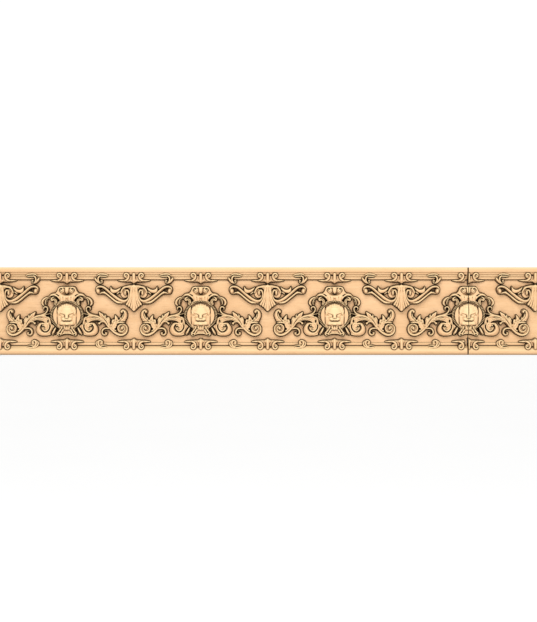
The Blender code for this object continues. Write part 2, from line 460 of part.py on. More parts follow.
def swag(relief):
    """Crossed bands of the swag, the wing leaf and the shoulder of the drop."""
    relief.mass([(53, 117), (54, 123.5), (60, 126), (67, 123.6), (78, 113), (88, 105), (97, 100),
                 (110, 99), (109, 94), (97, 93.6), (90, 95.2), (80, 104.4), (70, 111.6), (60, 111.6)], 4.5,
                0.9, 1.2)
    relief.pocket((63.4, 119), (5.8, 2.8), 0.0, -16)
    relief.strand([(57.6, 113.4), (54.4, 117), (54.6, 122.2), (59, 124.7), (65, 123.9), (71, 120.2),
                   (78, 113.8), (86, 107.2), (94, 101.2), (102, 98), (109.4, 99.6), (113.2, 105.4),
                   (113.4, 113), (110.6, 118.4), (107, 118)],
                  (2.1, 2.2, 2.2, 2.4, 2.6, 2.8, 3.2, 3.2, 2.8, 2.5, 2.2, 1.9),
                  (10.5, 11.2, 11.4, 11.2, 11.2, 11.6, 11.8, 11.4, 11), left_lip, 0.5)
    relief.boss((56.8, 116.6), (4.2, 5.2), 13.6, 6.0, 8)
    relief.boss((105, 112.5), (7.4, 8.6), 6.4, 6.0)
    relief.boss((106.2, 113.4), (3.0, 5.6), 12.8, 4.0)
    relief.pocket((110.2, 111), (0.8, 2.8), 4.0)
    relief.strand([(60, 112.6), (65.4, 114.2), (70.6, 112.4), (78, 106.6), (86, 99.8), (92.6, 95.8),
                   (100, 95.4)], (1.4, 1.8, 1.8, 1.8, 1.8, 1.6), (9, 9.5, 9.5, 9.5, 9.5, 9.2), wall=0.5)
    relief.strand([(66, 117.2), (73, 112.0), (82, 104.8), (90, 98.8), (97, 96.2)],
                  (0.5, 0.8, 0.8, 0.8, 0.5), 8.8, wall=0.7)
    relief.strand([(63, 119.6), (71, 115.2), (80, 107.8), (88, 101.4), (96, 98.2)],
                  (0.4, 0.5, 0.5, 0.5, 0.4), (0.8, 1.6, 1.8, 1.6, 0.8), groove=True)
    relief.mass([(88, 108), (92, 111.6), (99, 112.4), (103.6, 108.4), (110, 107.6), (109, 103.4),
                 (102, 101.2), (96, 102.6)], 2.2, 0.7, 2.0)
    relief.mass([(79.3, 126.4), (81, 122.4), (84.6, 119.8), (89.6, 119.6), (94.4, 121.8), (99, 124.4),
                 (97.4, 119.6), (93.6, 115.4), (88.6, 113), (83, 112.8), (79, 116), (78.4, 121)], 10.8,
                0.55, 3.0)
    relief.strand([(79.6, 124), (81.6, 119.4), (86.4, 117.2), (91.4, 117.8), (97.2, 122.6)],
                  (0.8, 1.8, 2.4, 1.9, 0.6), (10, 11.4, 12, 11.4, 9), left_lip, 0.75)
    relief.strand([(91, 111.6), (93.6, 114), (96.6, 115.6)], (1.4, 1.8, 1.0), (7, 8, 7.5), wall=0.5)
    relief.mass([(97, 113.6), (99.6, 120), (104, 125.6), (124, 125.9), (124, 100), (114, 96), (116.2, 104),
                 (117, 112), (114, 119.6), (108.6, 122.6), (103.6, 120), (101, 115), (99.4, 112.6)], 8.4,
                0.75, 1.6)
    relief.strand([(98.2, 114), (100.2, 119), (104.6, 123.2), (110, 124.2), (122, 124.2)],
                  (1.5, 1.8, 1.9, 1.7, 1.6), (9, 9.8, 10.4, 10.6, 10.6), wall=0.65)


def palmette(relief):
    """Fluted drop under the middle of the swag, with a scalloped lower edge."""
    relief.mass([(107, 93.6), (109.6, 91), (112.2, 90), (114.4, 87.6), (116.6, 86.2), (118.2, 82.4),
                 (122, 80.4), (128, 80.4), (128, 125.6), (117.6, 125.6), (119, 112), (116.4, 101),
                 (111, 96.4)], 9.6, 0.86, 1.2)
    for shoulder, tip in ((116.6, (109.2, 92.4)), (117.6, (113.2, 90)), (118.8, (117.2, 86.6))):
        middle = ((shoulder + tip[0]) / 2 + 1.6, 103)
        relief.strand([(shoulder, 123), middle, tip], (1.0, 1.7, 2.2), (MID, 11.2, 11.0), wall=0.78)
    relief.strand([(122, 124), (122, 102), (122, 83)], (1.6, 2.4, 3.2), (10.8, 11.8, 11.6), wall=0.8)


def ring(relief):
    """Roundel: a crescent at each side within a row of beads, the ground between sunk."""
    x, y = relief.x - RING_CENTRE[0], relief.y - RING_CENTRE[1]
    angle, radius = np.arctan2(y, x), np.hypot(x, y)
    outer, inner = (1 / np.hypot(np.cos(angle) / across, np.sin(angle) / up) for across,
                    up in (RING_REACH, CORD_INNER))
    cord = np.clip(np.abs(2 * radius - outer - inner) / (outer - inner), 0, 1)
    bead = np.abs(np.cos(BEADS / 2 * angle + 0.5 * (radius - inner)))
    height = CORD + BEAD * bead * np.sqrt(1 - cord * cord)
    within = np.minimum(inner - radius, x - CRESCENT_SIDE)
    swept = 1 - (1 - np.clip(within / CRESCENT_EASE, 0, 1)) ** 2
    ground = np.where(y > SUNK_ABOVE, SUNK, SUNK_FOOT)
    crescent = np.where(within > 0, CRESCENT_EDGE + (CRESCENT - CRESCENT_EDGE) * np.sqrt(swept), ground)
    height = np.where(radius < inner, crescent, height)
    relief.z = np.where(radius < outer, height, relief.z)


def lion(relief):
    """Lion mask: locks round a broad forehead that narrows to the nose, a curved mouth, a short chin."""
    relief.mass([(-6, 94.0), (0, 94.2), (2.4, 93.4), (5.0, 92.4), (8.8, 92.2), (10.4, 91.0), (11.2, 89.4),
                 (14.2, 88.6), (15.3, 86.2), (16.9, 84.6), (17.6, 77), (17.6, 70), (17.2, 62), (16.0, 57),
                 (13.0, 54.6), (8, 53.2), (0, 52.4), (-6, 52.4)], 12.2, 0.84, 1.8)
    for tip, root in (((0, 93.2), (0, 86)), ((4.6, 92.0), (4.0, 85)), ((8.6, 91.0), (7.4, 84)),
                      ((12.0, 88.4), (10.2, 82)), ((14.6, 86.2), (12.4, 79.8)), ((16.2, 81.6), (14.2,
                                                                                                75.6))):
        relief.strand([tip, ((tip[0] + root[0]) / 2, (tip[1] + root[1]) / 2), root], (1.3, 2.3, 2.2),
                      (13.2, 14.2, 14.2), wall=0.82)
    relief.boss((0, 80.0), (11.0, 11.4), 15.8, 11.0)
    relief.boss((12.6, 81.4), (4.6, 6.6), 13.4, 10.6, 12)
    relief.strand([(0, 82), (0, 76), (0, 71), (0, 67.6)], (6.8, 4.6, 3.1, 3.3), (14.6, 15.8, 16.6, 17.0),
                  wall=0.86)
    relief.strand([(3.6, 75.2), (7.2, 76.4), (11, 78.0), (14.4, 77.4)], (1.7, 2.0, 2.0, 1.2),
                  (15.0, 14.8, 14.2, 13.2), wall=0.86)
    relief.boss((12.9, 65.8), (4.6, 9.0), 13.4, 10.4, -4)
    relief.boss((7.4, 71.4), (4.0, 2.8), 13.8, 11.4, 14)
    relief.boss((5.0, 69.0), (3.4, 3.0), 13.8, 11.2)
    relief.boss((5.6, 65.6), (4.8, 3.3), 16.6, 12.6, 14)
    relief.boss((0, 65.2), (3.0, 3.2), 16.2, 12.0)
    relief.boss((0, 68.9), (3.2, 2.6), NOSE, 12.6)
    relief.mass([(-6, 61.2), (0, 61.3), (5, 61.1), (8.6, 62.0), (11.4, 61.4), (12.8, 58.6), (11.6, 55.6),
                 (8.6, 54.6), (5, 55.0), (0, 53.8), (-6, 53.8)], 14.2, 0.84, 2.4)
    relief.boss((0, 56.8), (4.2, 2.8), 15.8, 12.2)
    relief.strand([(0, 62.1), (4.4, 61.9), (7.2, 62.8), (9.0, 64.8), (9.6, 67.2)],
                  (0.6, 0.65, 0.6, 0.5, 0.4), (0.8, 0.9, 1.0, 0.9, 0.5), groove=True)
    relief.strand([(3.9, 68.2), (3.7, 70.8), (4.2, 73.2), (7.2, 74.6), (10.6, 76.2)],
                  (0.5, 0.6, 0.7, 0.6, 0.5), (0.5, 1.0, 1.6, 1.5, 0.7), groove=True)
    relief.strand([(10.0, 65.6), (11.0, 68.0), (14.2, 68.8)], (0.5, 0.6, 0.5), (0.5, 0.8, 0.5),
                  groove=True)
    relief.strand([(9.6, 70.8), (12.4, 73.2), (15.2, 71.4)], (0.5, 0.6, 0.5), (0.7, 1.0, 0.7),
                  groove=True)
    relief.strand([(0, 66.3), (3.2, 66.7)], (0.6, 0.5), (2.2, 1.2), groove=True)
    relief.strand([(0, 85.4), (4.4, 86.6), (8.6, 85.0)], (0.5, 0.6, 0.4), (0.6, 0.7, 0.3), groove=True)
    relief.strand([(0, 53.5), (3.2, 53.6), (5.4, 54.2)], (0.7, 0.7, 0.5), (2.2, 2.0, 0.8), groove=True)
    relief.strand([(6.0, 52.6), (8.4, 54.2), (11.2, 53.8), (13.2, 54.8), (15.0, 57.4)],
                  (0.5, 0.7, 0.7, 0.7, 0.5), (0.8, 1.8, 1.6, 1.8, 0.8), groove=True)
    for root, tip in (((0, 50.8), (0, 46.6)), ((4.2, 50.6), (2.0, 47.6)), ((9.2, 51.2), (7.6, 49.6))):
        relief.strand([root, ((root[0] + tip[0]) / 2 + 0.8 * (root[0] > 0), 49.4), tip], (2.0, 1.9, 0.9),
                      (12.2, 11.8, 10.6), wall=0.8)
    relief.pocket((7.0, 49.0), (1.5, 0.9), 6.0, -10)
    relief.soften((-1, 46), (17.6, 95), 0.35)


def carve(step):
    """The whole half repeat."""
    relief = Relief(step)
    cut_mouldings(relief)
    for at_foot in (False, True):
        fleur(relief, 0, 1, at_foot)
        fleur(relief, HALF, -1, at_foot)
    for work in (clasps, feathers, crest, swag, palmette, spray, cartouche_foot, big_volute, acanthus,
                 end_volute, ring, lion):
        work(relief)
    relief.soften((0, 0), (HALF, HEIGHT), 0.3)
    return relief


# The frieze in the part's frame: x along the length, z up, the flat back on y = 0, the face towards -y.
# Lengths in millimetres; MM and WELD in metres.
BOARD = 12.0
LENGTH = 988.0
FIRST_SWAG = -488.0
HALVES = 8
SEAM = 366.0
JOINT_GAP = 0.8
CARVING_STEP = 0.5
FACETS_PER_HALF = 1120
SIDE_REACH = 0.6
LOBE_REACH = 6.6
LOBE_ROWS = (8.0, 31.5)
MM = 0.001
WELD = 0.000001
UNFOLD_ROUNDS = 40
UNFOLD_SHARE = 0.2
UPRIGHT = 0.02


def clear_scene():
    for old in list(bpy.data.objects):
        bpy.data.objects.remove(old)


def wood(name, colour):
    material = bpy.data.materials.new(name)
    material.use_nodes = True
    shader = material.node_tree.nodes["Principled BSDF"]
    shader.inputs["Base Color"].default_value = colour
    shader.inputs["Roughness"].default_value = 0.55
    shader.inputs["Metallic"].default_value = 0.0
    return material


def half_repeat():
    """One carved half repeat in millimetres, thinned to its larger facets, open at its four sides."""
    relief = carve(CARVING_STEP)
    rows, columns = relief.z.shape
    grid = bmesh.new()
    bmesh.ops.create_grid(grid, x_segments=columns - 1, y_segments=rows - 1, size=1)
    for vertex in grid.verts:
        column = round((vertex.co.x + 1) / 2 * (columns - 1))
        row = round((vertex.co.y + 1) / 2 * (rows - 1))
        vertex.co = (relief.x[row, column], relief.y[row, column], relief.z[row, column])
    fine = bpy.data.meshes.new("half_repeat")
    grid.to_mesh(fine)
    facets = 2 * len(grid.faces)
    grid.free()
    holder = bpy.data.objects.new("half_repeat", fine)
    bpy.context.scene.collection.objects.link(holder)
    thin = holder.modifiers.new("thin", "DECIMATE")
    thin.ratio = FACETS_PER_HALF / facets
    thin.use_collapse_triangulate = True
    bpy.context.view_layer.update()
    coarse = bpy.data.meshes.new_from_object(holder.evaluated_get(bpy.context.evaluated_depsgraph_get()))
    bpy.data.objects.remove(holder)
    bpy.data.meshes.remove(fine)
    return coarse


def unfold(form):
    """Draw facets that overhang back until the face is a plain height field again."""
    for _ in range(UNFOLD_ROUNDS):
        form.normal_update()
        folded = [vertex for vertex in form.verts if not vertex.is_boundary
                  and any(face.normal.z < UPRIGHT for face in vertex.link_faces)]
        for vertex in folded:
            around = [edge.other_vert(vertex).co for edge in vertex.link_edges]
            vertex.co = vertex.co.lerp(sum(around, Vector()) / len(around), UNFOLD_SHARE)


def straighten_sides(mesh):
    """Bring the open sides back onto their planes, with no facet left within one, so mirrored copies meet."""
    form = bmesh.new()
    form.from_mesh(mesh)
    border = {vertex for edge in form.edges if edge.is_boundary for vertex in edge.verts}
    for vertex in border:
        for axis, plane in ((0, 0.0), (0, HALF), (1, 0.0), (1, HEIGHT)):
            if abs(vertex.co[axis] - plane) < SIDE_REACH:
                vertex.co[axis] = plane
    within = [face for face in form.faces for plane in (0.0, HALF)
              if all(vertex.co.x == plane for vertex in face.verts)]
    bmesh.ops.delete(form, geom=within, context="FACES")
    unfold(form)
    form.to_mesh(mesh)
    form.free()
    return mesh


def surface_strip(mesh):
    """The carved face from end to end, as one open surface in metres."""
    strip = bmesh.new()
    for index in range(-1, HALVES + 1):
        first = len(strip.verts)
        strip.from_mesh(mesh)
        strip.verts.ensure_lookup_table()
        from_swag = index % 2 == 0
        for vertex in strip.verts[first:]:
            along = HALF - vertex.co.x if from_swag else vertex.co.x
            x = FIRST_SWAG + HALF * index + along
            vertex.co = (x * MM, -(BOARD + vertex.co.z) * MM, (vertex.co.y - HEIGHT / 2) * MM)
    bmesh.ops.remove_doubles(strip, verts=strip.verts, dist=WELD)
    return strip


def lose_lobes(form):
    """Left of the joint the lilies have no lobe: the moulding is bare there."""
    for vertex in form.verts:
        x, y = vertex.co.x / MM, vertex.co.z / MM + HEIGHT / 2
        if 0 <= SEAM - x < LOBE_REACH and LOBE_ROWS[0] < min(y, HEIGHT - y) < LOBE_ROWS[1]:
            bare = max(float(top_moulding(HEIGHT - y)), float(foot_moulding(y)))
            vertex.co.y = max(vertex.co.y, -(BOARD + bare) * MM)


def closed_length(surface, name, ends, material, collection):
    """One length, cut square at both ends and closed to its flat back."""
    for plane, normal in zip(ends, ((-1, 0, 0), (1, 0, 0))):
        bmesh.ops.bisect_plane(surface, geom=surface.verts[:] + surface.edges[:] + surface.faces[:],
                               dist=WELD, plane_co=(plane * MM, 0, 0), plane_no=normal, clear_outer=True)
    border = [edge for edge in surface.edges if edge.is_boundary]
    walls = bmesh.ops.extrude_edge_only(surface, edges=border)["geom"]
    for vertex in walls:
        if isinstance(vertex, bmesh.types.BMVert):
            vertex.co.y = 0.0
    back = [edge for edge in surface.edges if edge.is_boundary]
    bmesh.ops.holes_fill(surface, edges=back)
    bmesh.ops.triangulate(surface, faces=surface.faces)
    bmesh.ops.recalc_face_normals(surface, faces=surface.faces)
    mesh = bpy.data.meshes.new(name)
    surface.to_mesh(mesh)
    surface.free()
    mesh.materials.append(material)
    collection.objects.link(bpy.data.objects.new(name, mesh))


def main():
    clear_scene()
    collection = bpy.data.collections.new("decorative_panel")
    bpy.context.scene.collection.children.link(collection)
    right = surface_strip(straighten_sides(half_repeat()))
    left = right.copy()
    lose_lobes(left)
    end, gap = LENGTH / 2, JOINT_GAP / 2
    closed_length(left, "frieze_long_length", (-end, SEAM - gap),
                  wood("carved_wood", (0.78, 0.58, 0.36, 1.0)), collection)
    closed_length(right, "frieze_short_length", (SEAM + gap, end),
                  wood("carved_wood_short", (0.80, 0.60, 0.38, 1.0)), collection)


main()
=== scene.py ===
"""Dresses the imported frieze: both carved lengths in full relief, their wood, and a pale studio.

Each length replaces the plain solid of the same name. The pattern repeats every 244 mm and is symmetric
about each roundel and each swag, so half a repeat is carved as a height over the field and mirrored.
"""
import math

import bmesh
import bpy
import numpy as np
from bpy.props import FloatProperty, FloatVectorProperty, IntProperty, PointerProperty
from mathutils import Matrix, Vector


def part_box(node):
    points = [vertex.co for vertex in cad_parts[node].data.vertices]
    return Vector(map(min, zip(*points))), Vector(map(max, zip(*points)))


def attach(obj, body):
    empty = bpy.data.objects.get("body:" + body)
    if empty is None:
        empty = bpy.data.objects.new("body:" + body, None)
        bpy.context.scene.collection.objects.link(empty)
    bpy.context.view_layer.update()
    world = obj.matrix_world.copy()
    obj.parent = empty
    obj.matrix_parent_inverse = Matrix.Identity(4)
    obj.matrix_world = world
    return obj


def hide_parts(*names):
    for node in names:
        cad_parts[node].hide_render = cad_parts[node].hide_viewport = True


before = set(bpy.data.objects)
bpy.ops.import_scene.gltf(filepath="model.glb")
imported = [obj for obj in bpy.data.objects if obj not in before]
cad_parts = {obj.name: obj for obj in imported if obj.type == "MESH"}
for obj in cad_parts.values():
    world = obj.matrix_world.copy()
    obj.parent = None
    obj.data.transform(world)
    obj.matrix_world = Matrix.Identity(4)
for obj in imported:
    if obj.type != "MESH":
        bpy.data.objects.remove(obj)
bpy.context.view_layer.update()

bl_info = {
    "name": "Carved frieze",
    "version": (1, 0, 0),
    "blender": (4, 5, 0),
    "location": "3D View > Sidebar > Frieze",
    "description": "Carves the two lengths of a wooden frieze and sets up a studio around them",
    "category": "Object",
}

# Driving sizes, in millimetres
HEIGHT = 160.0
HALF = 122.0
TOP_MOULDING = 22.2
TOP_LINES = (17.6, 13.8)
ROLL_WIDTH = 9.2
ROLL_CREST = 5.0
FOOT_MOULDING = 22.8
OVOLO_WIDTH = 17.2
OVOLO_CREST = 6.0
RING_CENTRE = (0.0, 72.2)
RING_REACH = (30.4, 26.8)
CORD_INNER = (25.3, 24.0)
CRESCENT_SIDE, CRESCENT_EASE = 17.8, 2.4
BEADS = 62

# Heights of the carving over the field, in millimetres
FILLET_TOP, FILLET_FALL = 9.2, 0.4
ROLL = 11.4
ROLL_FOOT = 10.2
ROLL_BEND = 2.0
OVOLO = 9.6
OVOLO_FOOT = 3.0
OVOLO_DROP = 6.0
FOOT_FILLET = 1.6
LOW, MID = 7.5, 10.0
SUNK = 7.0
SUNK_FOOT = 9.8
SUNK_ABOVE = 13.0
EYE_DEPTH = -2.5
CORD, BEAD = 8.4, 3.8
CRESCENT, CRESCENT_EDGE = 12.4, 11.2
NOSE = 17.6
SCORE = 0.9
SCORE_REACH = 0.55


def smooth_path(points, step=0.35):
    """Evenly stepped Catmull-Rom curve through a few points."""
    points = np.array(points, float)
    ends = np.vstack([2 * points[0] - points[1], points, 2 * points[-1] - points[-2]])
    t = (np.arange(16) / 16)[:, None]
    pieces = []
    for a, b, c, d in zip(ends, ends[1:], ends[2:], ends[3:]):
        bend, twist = 2 * a - 5 * b + 4 * c - d, 3 * b - a - 3 * c + d
        pieces.append(0.5 * (2 * b + (c - a) * t + bend * t**2 + twist * t**3))
    curve = np.vstack(pieces + [points[-1:]])
    length = np.concatenate([[0], np.cumsum(np.hypot(*np.diff(curve, axis=0).T))])
    at = np.linspace(0, length[-1], max(3, int(length[-1] / step)))
    return np.column_stack([np.interp(at, length, curve[:, 0]), np.interp(at, length, curve[:, 1])])


def ease_along(values, count):
    """One value, or a few spread along a path, as a value for each of its points."""
    values = np.atleast_1d(np.array(values, float))
    if len(values) == 1:
        return np.full(count, values[0])
    at = np.linspace(0, 1, count) * (len(values) - 1)
    first = np.minimum(at.astype(int), len(values) - 2)
    part = at - first
    part = part * part * (3 - 2 * part)
    return values[first] + (values[first + 1] - values[first]) * part


# Sections of a carved strand: t runs from 0 on its axis to 1 at its edge, side from -1 to 1 across it
def rounded(t, side):
    return np.sqrt(1 - t * t)


def veined(t, side):
    return np.sqrt(1 - t * t) - 0.3 * np.exp(-(t / 0.22) ** 2)


def left_lip(t, side):
    return np.sqrt(1 - t * t) * (0.68 + 0.32 * side)


def right_lip(t, side):
    return np.sqrt(1 - t * t) * (0.68 - 0.32 * side)


class Relief:
    """Height over the field on a grid that covers half a repeat, from a cartouche axis to a swag axis."""

    def __init__(self, step):
        columns = int(round(HALF / step)) + 1
        rows = int(round(HEIGHT / step)) + 1
        self.x, self.y = np.meshgrid(np.linspace(0, HALF, columns), np.linspace(0, HEIGHT, rows))
        self.z = np.zeros_like(self.x)

    def patch(self, low, high):
        left, right = np.searchsorted(self.x[0], (low[0], high[0]))
        foot, top = np.searchsorted(self.y[:, 0], (low[1], high[1]))
        return slice(max(foot - 1, 0), top + 1), slice(max(left - 1, 0), right + 1)

    def raise_to(self, box, inside, height):
        """Keep the higher of what is there and the new form."""
        z = self.z[box]
        z[inside] = np.maximum(z, height)[inside]

    def strand(self, points, wide, top, section=rounded, wall=0.45, groove=False):
        """A strand, or a groove of that depth, along points: wide is half its width, wall its steep part."""
        curve = smooth_path(points)
        wide = ease_along(wide, len(curve))
        top = ease_along(top, len(curve))
        reach = wide.max() + 0.5
        box = self.patch(curve.min(0) - reach, curve.max(0) + reach)
        x, y = self.x[box], self.y[box]
        if not x.size:
            return
        near_square = ((x[..., None] - curve[:, 0]) ** 2 + (y[..., None] - curve[:, 1]) ** 2) / wide**2
        near = near_square.argmin(-1)
        t = np.sqrt(np.take_along_axis(near_square, near[..., None], -1)[..., 0])
        inside = t < 1
        t = np.minimum(t, 1)
        way = np.gradient(curve, axis=0)
        way /= np.maximum(np.hypot(way[:, 0], way[:, 1]), 1e-9)[:, None]
        side = way[near, 0] * (y - curve[near, 1]) - way[near, 1] * (x - curve[near, 0])
        shape = section(t, np.clip(side / wide[near], -1, 1))
        if groove:
            z = self.z[box]
            z[inside] = np.maximum(z - top[near] * shape, 0)[inside]
        else:
            self.raise_to(box, inside, top[near] * (wall + (1 - wall) * shape))

    def boss_space(self, centre, radii, turn):
        reach = max(radii) + 0.5
        box = self.patch((centre[0] - reach, centre[1] - reach), (centre[0] + reach, centre[1] + reach))
        x, y = self.x[box] - centre[0], self.y[box] - centre[1]
        angle = math.radians(turn)
        along = (x * math.cos(angle) + y * math.sin(angle)) / radii[0]
        across = (y * math.cos(angle) - x * math.sin(angle)) / radii[1]
        return box, along**2 + across**2

    def boss(self, centre, radii, top, base=0.0, turn=0.0):
        """A domed form: an ellipsoid that stands on base."""
        box, square = self.boss_space(centre, radii, turn)
        shape = np.sqrt(1 - np.minimum(square, 1))
        self.raise_to(box, square < 1, base + (top - base) * shape)

    def swell(self, centre, radii, rise, turn=0.0):
        """A soft rise, or a hollow, that fades to nothing at its edge."""
        box, square = self.boss_space(centre, radii, turn)
        self.z[box] += rise * (1 - np.minimum(square, 1)) ** 2

    def pocket(self, centre, radii, floor, turn=0.0):
        """A steep hole down to floor."""
        box, square = self.boss_space(centre, radii, turn)
        z = self.z[box]
        inside = square < 1
        z[inside] = np.minimum(z, floor)[inside]

    def soften(self, low, high, reach):
        """Round the carving off within a rectangle, by a blur of that reach; the mirror planes stay whole."""
        box = self.patch(low, high)
        step = self.x[0, 1] - self.x[0, 0]
        count = int(3 * reach / step) + 1
        at = np.arange(-count, count + 1) * step
        weight = np.exp(-(at / reach) ** 2 / 2)
        weight /= weight.sum()
        rows, columns = box
        wide = np.pad(self.z, count, "reflect")
        part = wide[rows.start:rows.stop + 2 * count, columns.start:columns.stop + 2 * count]
        part = np.array([np.convolve(line, weight, "valid") for line in part])
        part = np.array([np.convolve(line, weight, "valid") for line in part.T]).T
        self.z[box] = part[:self.z[box].shape[0], :self.z[box].shape[1]]

    def mass(self, outline, top, wall=0.6, ease=2.0):
        """A form with a closed smooth outline, rounded over within ease of its edge."""
        curve = smooth_path(list(outline) + [outline[0]], 0.5)
        box = self.patch(curve.min(0) - 0.5, curve.max(0) + 0.5)
        x, y = self.x[box][..., None], self.y[box][..., None]
        if not x.size:
            return
        x0, y0 = curve[:-1].T
        x1, y1 = curve[1:].T
        level = np.where(y1 == y0, 1e-9, y1 - y0)
        crossed = ((y0 > y) != (y1 > y)) & (x < x0 + (y - y0) * (x1 - x0) / level)
        inside = crossed.sum(-1) % 2 == 1
        gap = np.sqrt(((x - curve[:, 0]) ** 2 + (y - curve[:, 1]) ** 2).min(-1))
        shape = np.sqrt(1 - (1 - np.clip(gap / ease, 0, 1)) ** 2)
        self.raise_to(box, inside, top * (wall + (1 - wall) * shape))


def scored(height, edge, lines):
    """Fine grooves along the moulding."""
    for line in lines:
        height = height - SCORE * np.exp(-((edge - line) / SCORE_REACH) ** 2)
    return height


def top_moulding(edge):
    """An outer roll, then fillets that fall away to the step; edge is the distance from the edge."""
    fillet = FILLET_TOP - FILLET_FALL * (edge - ROLL_WIDTH)
    height = np.where(edge < TOP_MOULDING, fillet, 0.0)
    roll = ROLL - (ROLL - ROLL_FOOT) * np.abs((edge - ROLL_CREST) / (ROLL_WIDTH - ROLL_CREST)) ** ROLL_BEND
    height = np.where(edge < ROLL_WIDTH, roll, height)
    return scored(height, edge, TOP_LINES)


def foot_moulding(edge):
    """One low fillet at the field, then a broad ovolo that rounds over to the edge."""
    height = np.where(edge < FOOT_MOULDING, FOOT_FILLET, 0.0)
    slope = np.clip((edge - OVOLO_CREST) / (OVOLO_WIDTH - OVOLO_CREST), 0, 1)
    turn = np.clip(1 - edge / OVOLO_CREST, 0, 1)
    ovolo = OVOLO - (OVOLO - OVOLO_FOOT) * slope**2 - OVOLO_DROP * turn**ROLL_BEND
    height = np.where(edge < OVOLO_WIDTH, ovolo, height)
    return scored(height, edge, (OVOLO_WIDTH,))


def cut_mouldings(relief):
    relief.z = np.maximum(top_moulding(HEIGHT - relief.y), foot_moulding(relief.y))


def fleur(relief, axis, way, at_foot):
    """Lily on the moulding: half of its pointed lobe, its volute and the tail along the step."""
    def place(points):
        if at_foot:
            return [(axis + way * x, edge * FOOT_MOULDING / TOP_MOULDING) for x, edge in points]
        return [(axis + way * x, HEIGHT - edge) for x, edge in points]
    tail = right_lip if (way > 0) == at_foot else left_lip
    drop = 0.4 if at_foot else 0.0
    relief.mass(place([(-6, 12.6), (0, 12.6), (5.4, 13.0), (9.4, 15.4), (10.6, 20.6), (8, 25), (0, 26),
                       (-6, 26)]), 7.0 - drop, 0.9, 1.0)
    relief.strand(place([(3.0, 24.2), (10, 24.5), (20, 24.3), (29, 23.8)]), (2.4, 2.0, 1.8, 0.9),
                  (LOW, LOW, 7.0, 5.0), tail, 0.6)
    relief.boss(place([(13.4, 15.4)])[0], (5.2, 5.0), 9.2, 8.8)
    relief.strand(place([(21, 24.0), (15.4, 23.8), (11.0, 21.0), (9.3, 16.8), (10.4, 12.8), (13.6, 11.2),
                         (16.8, 12.8), (17.0, 15.8), (15.0, 17.4)]),
                  (0.8, 1.8, 2.0, 1.8, 1.7, 1.6, 1.4, 1.2),
                  (6.0 - drop, 10.0 - drop, 11.4 - drop, 12.0, 12.2, 11.8), wall=0.84)
    relief.boss(place([(14.2, 15.2)])[0], (1.8, 1.9), 12.2, 8.0)
    relief.mass(place([(-6, 19.0), (0, 19.0), (3.0, 20.6), (6.6, 23.8), (6.4, 26.0), (3.2, 27.8),
                       (0, 30.0), (-6, 30.0)]), 9.8 - drop, 0.72, 2.6)
    relief.strand(place([(0, 12.8), (0, 16.8), (0, 20.8), (0, 24.6), (0, 28.0)]),
                  (2.9, 3.1, 3.1, 2.8, 1.2), (13.0, 13.0, 12.8 - drop, 12.0 - drop, 9.6 - drop),
                  wall=0.84)
    relief.pocket(place([(5.2, 14.6)])[0], (1.7, 1.4), 4.0)
    low, high = sorted(y for _, y in place([(0, 8.9), (0, 31)]))
    relief.soften((min(axis, axis + 7 * way), low), (max(axis, axis + 7 * way), high), 0.35)


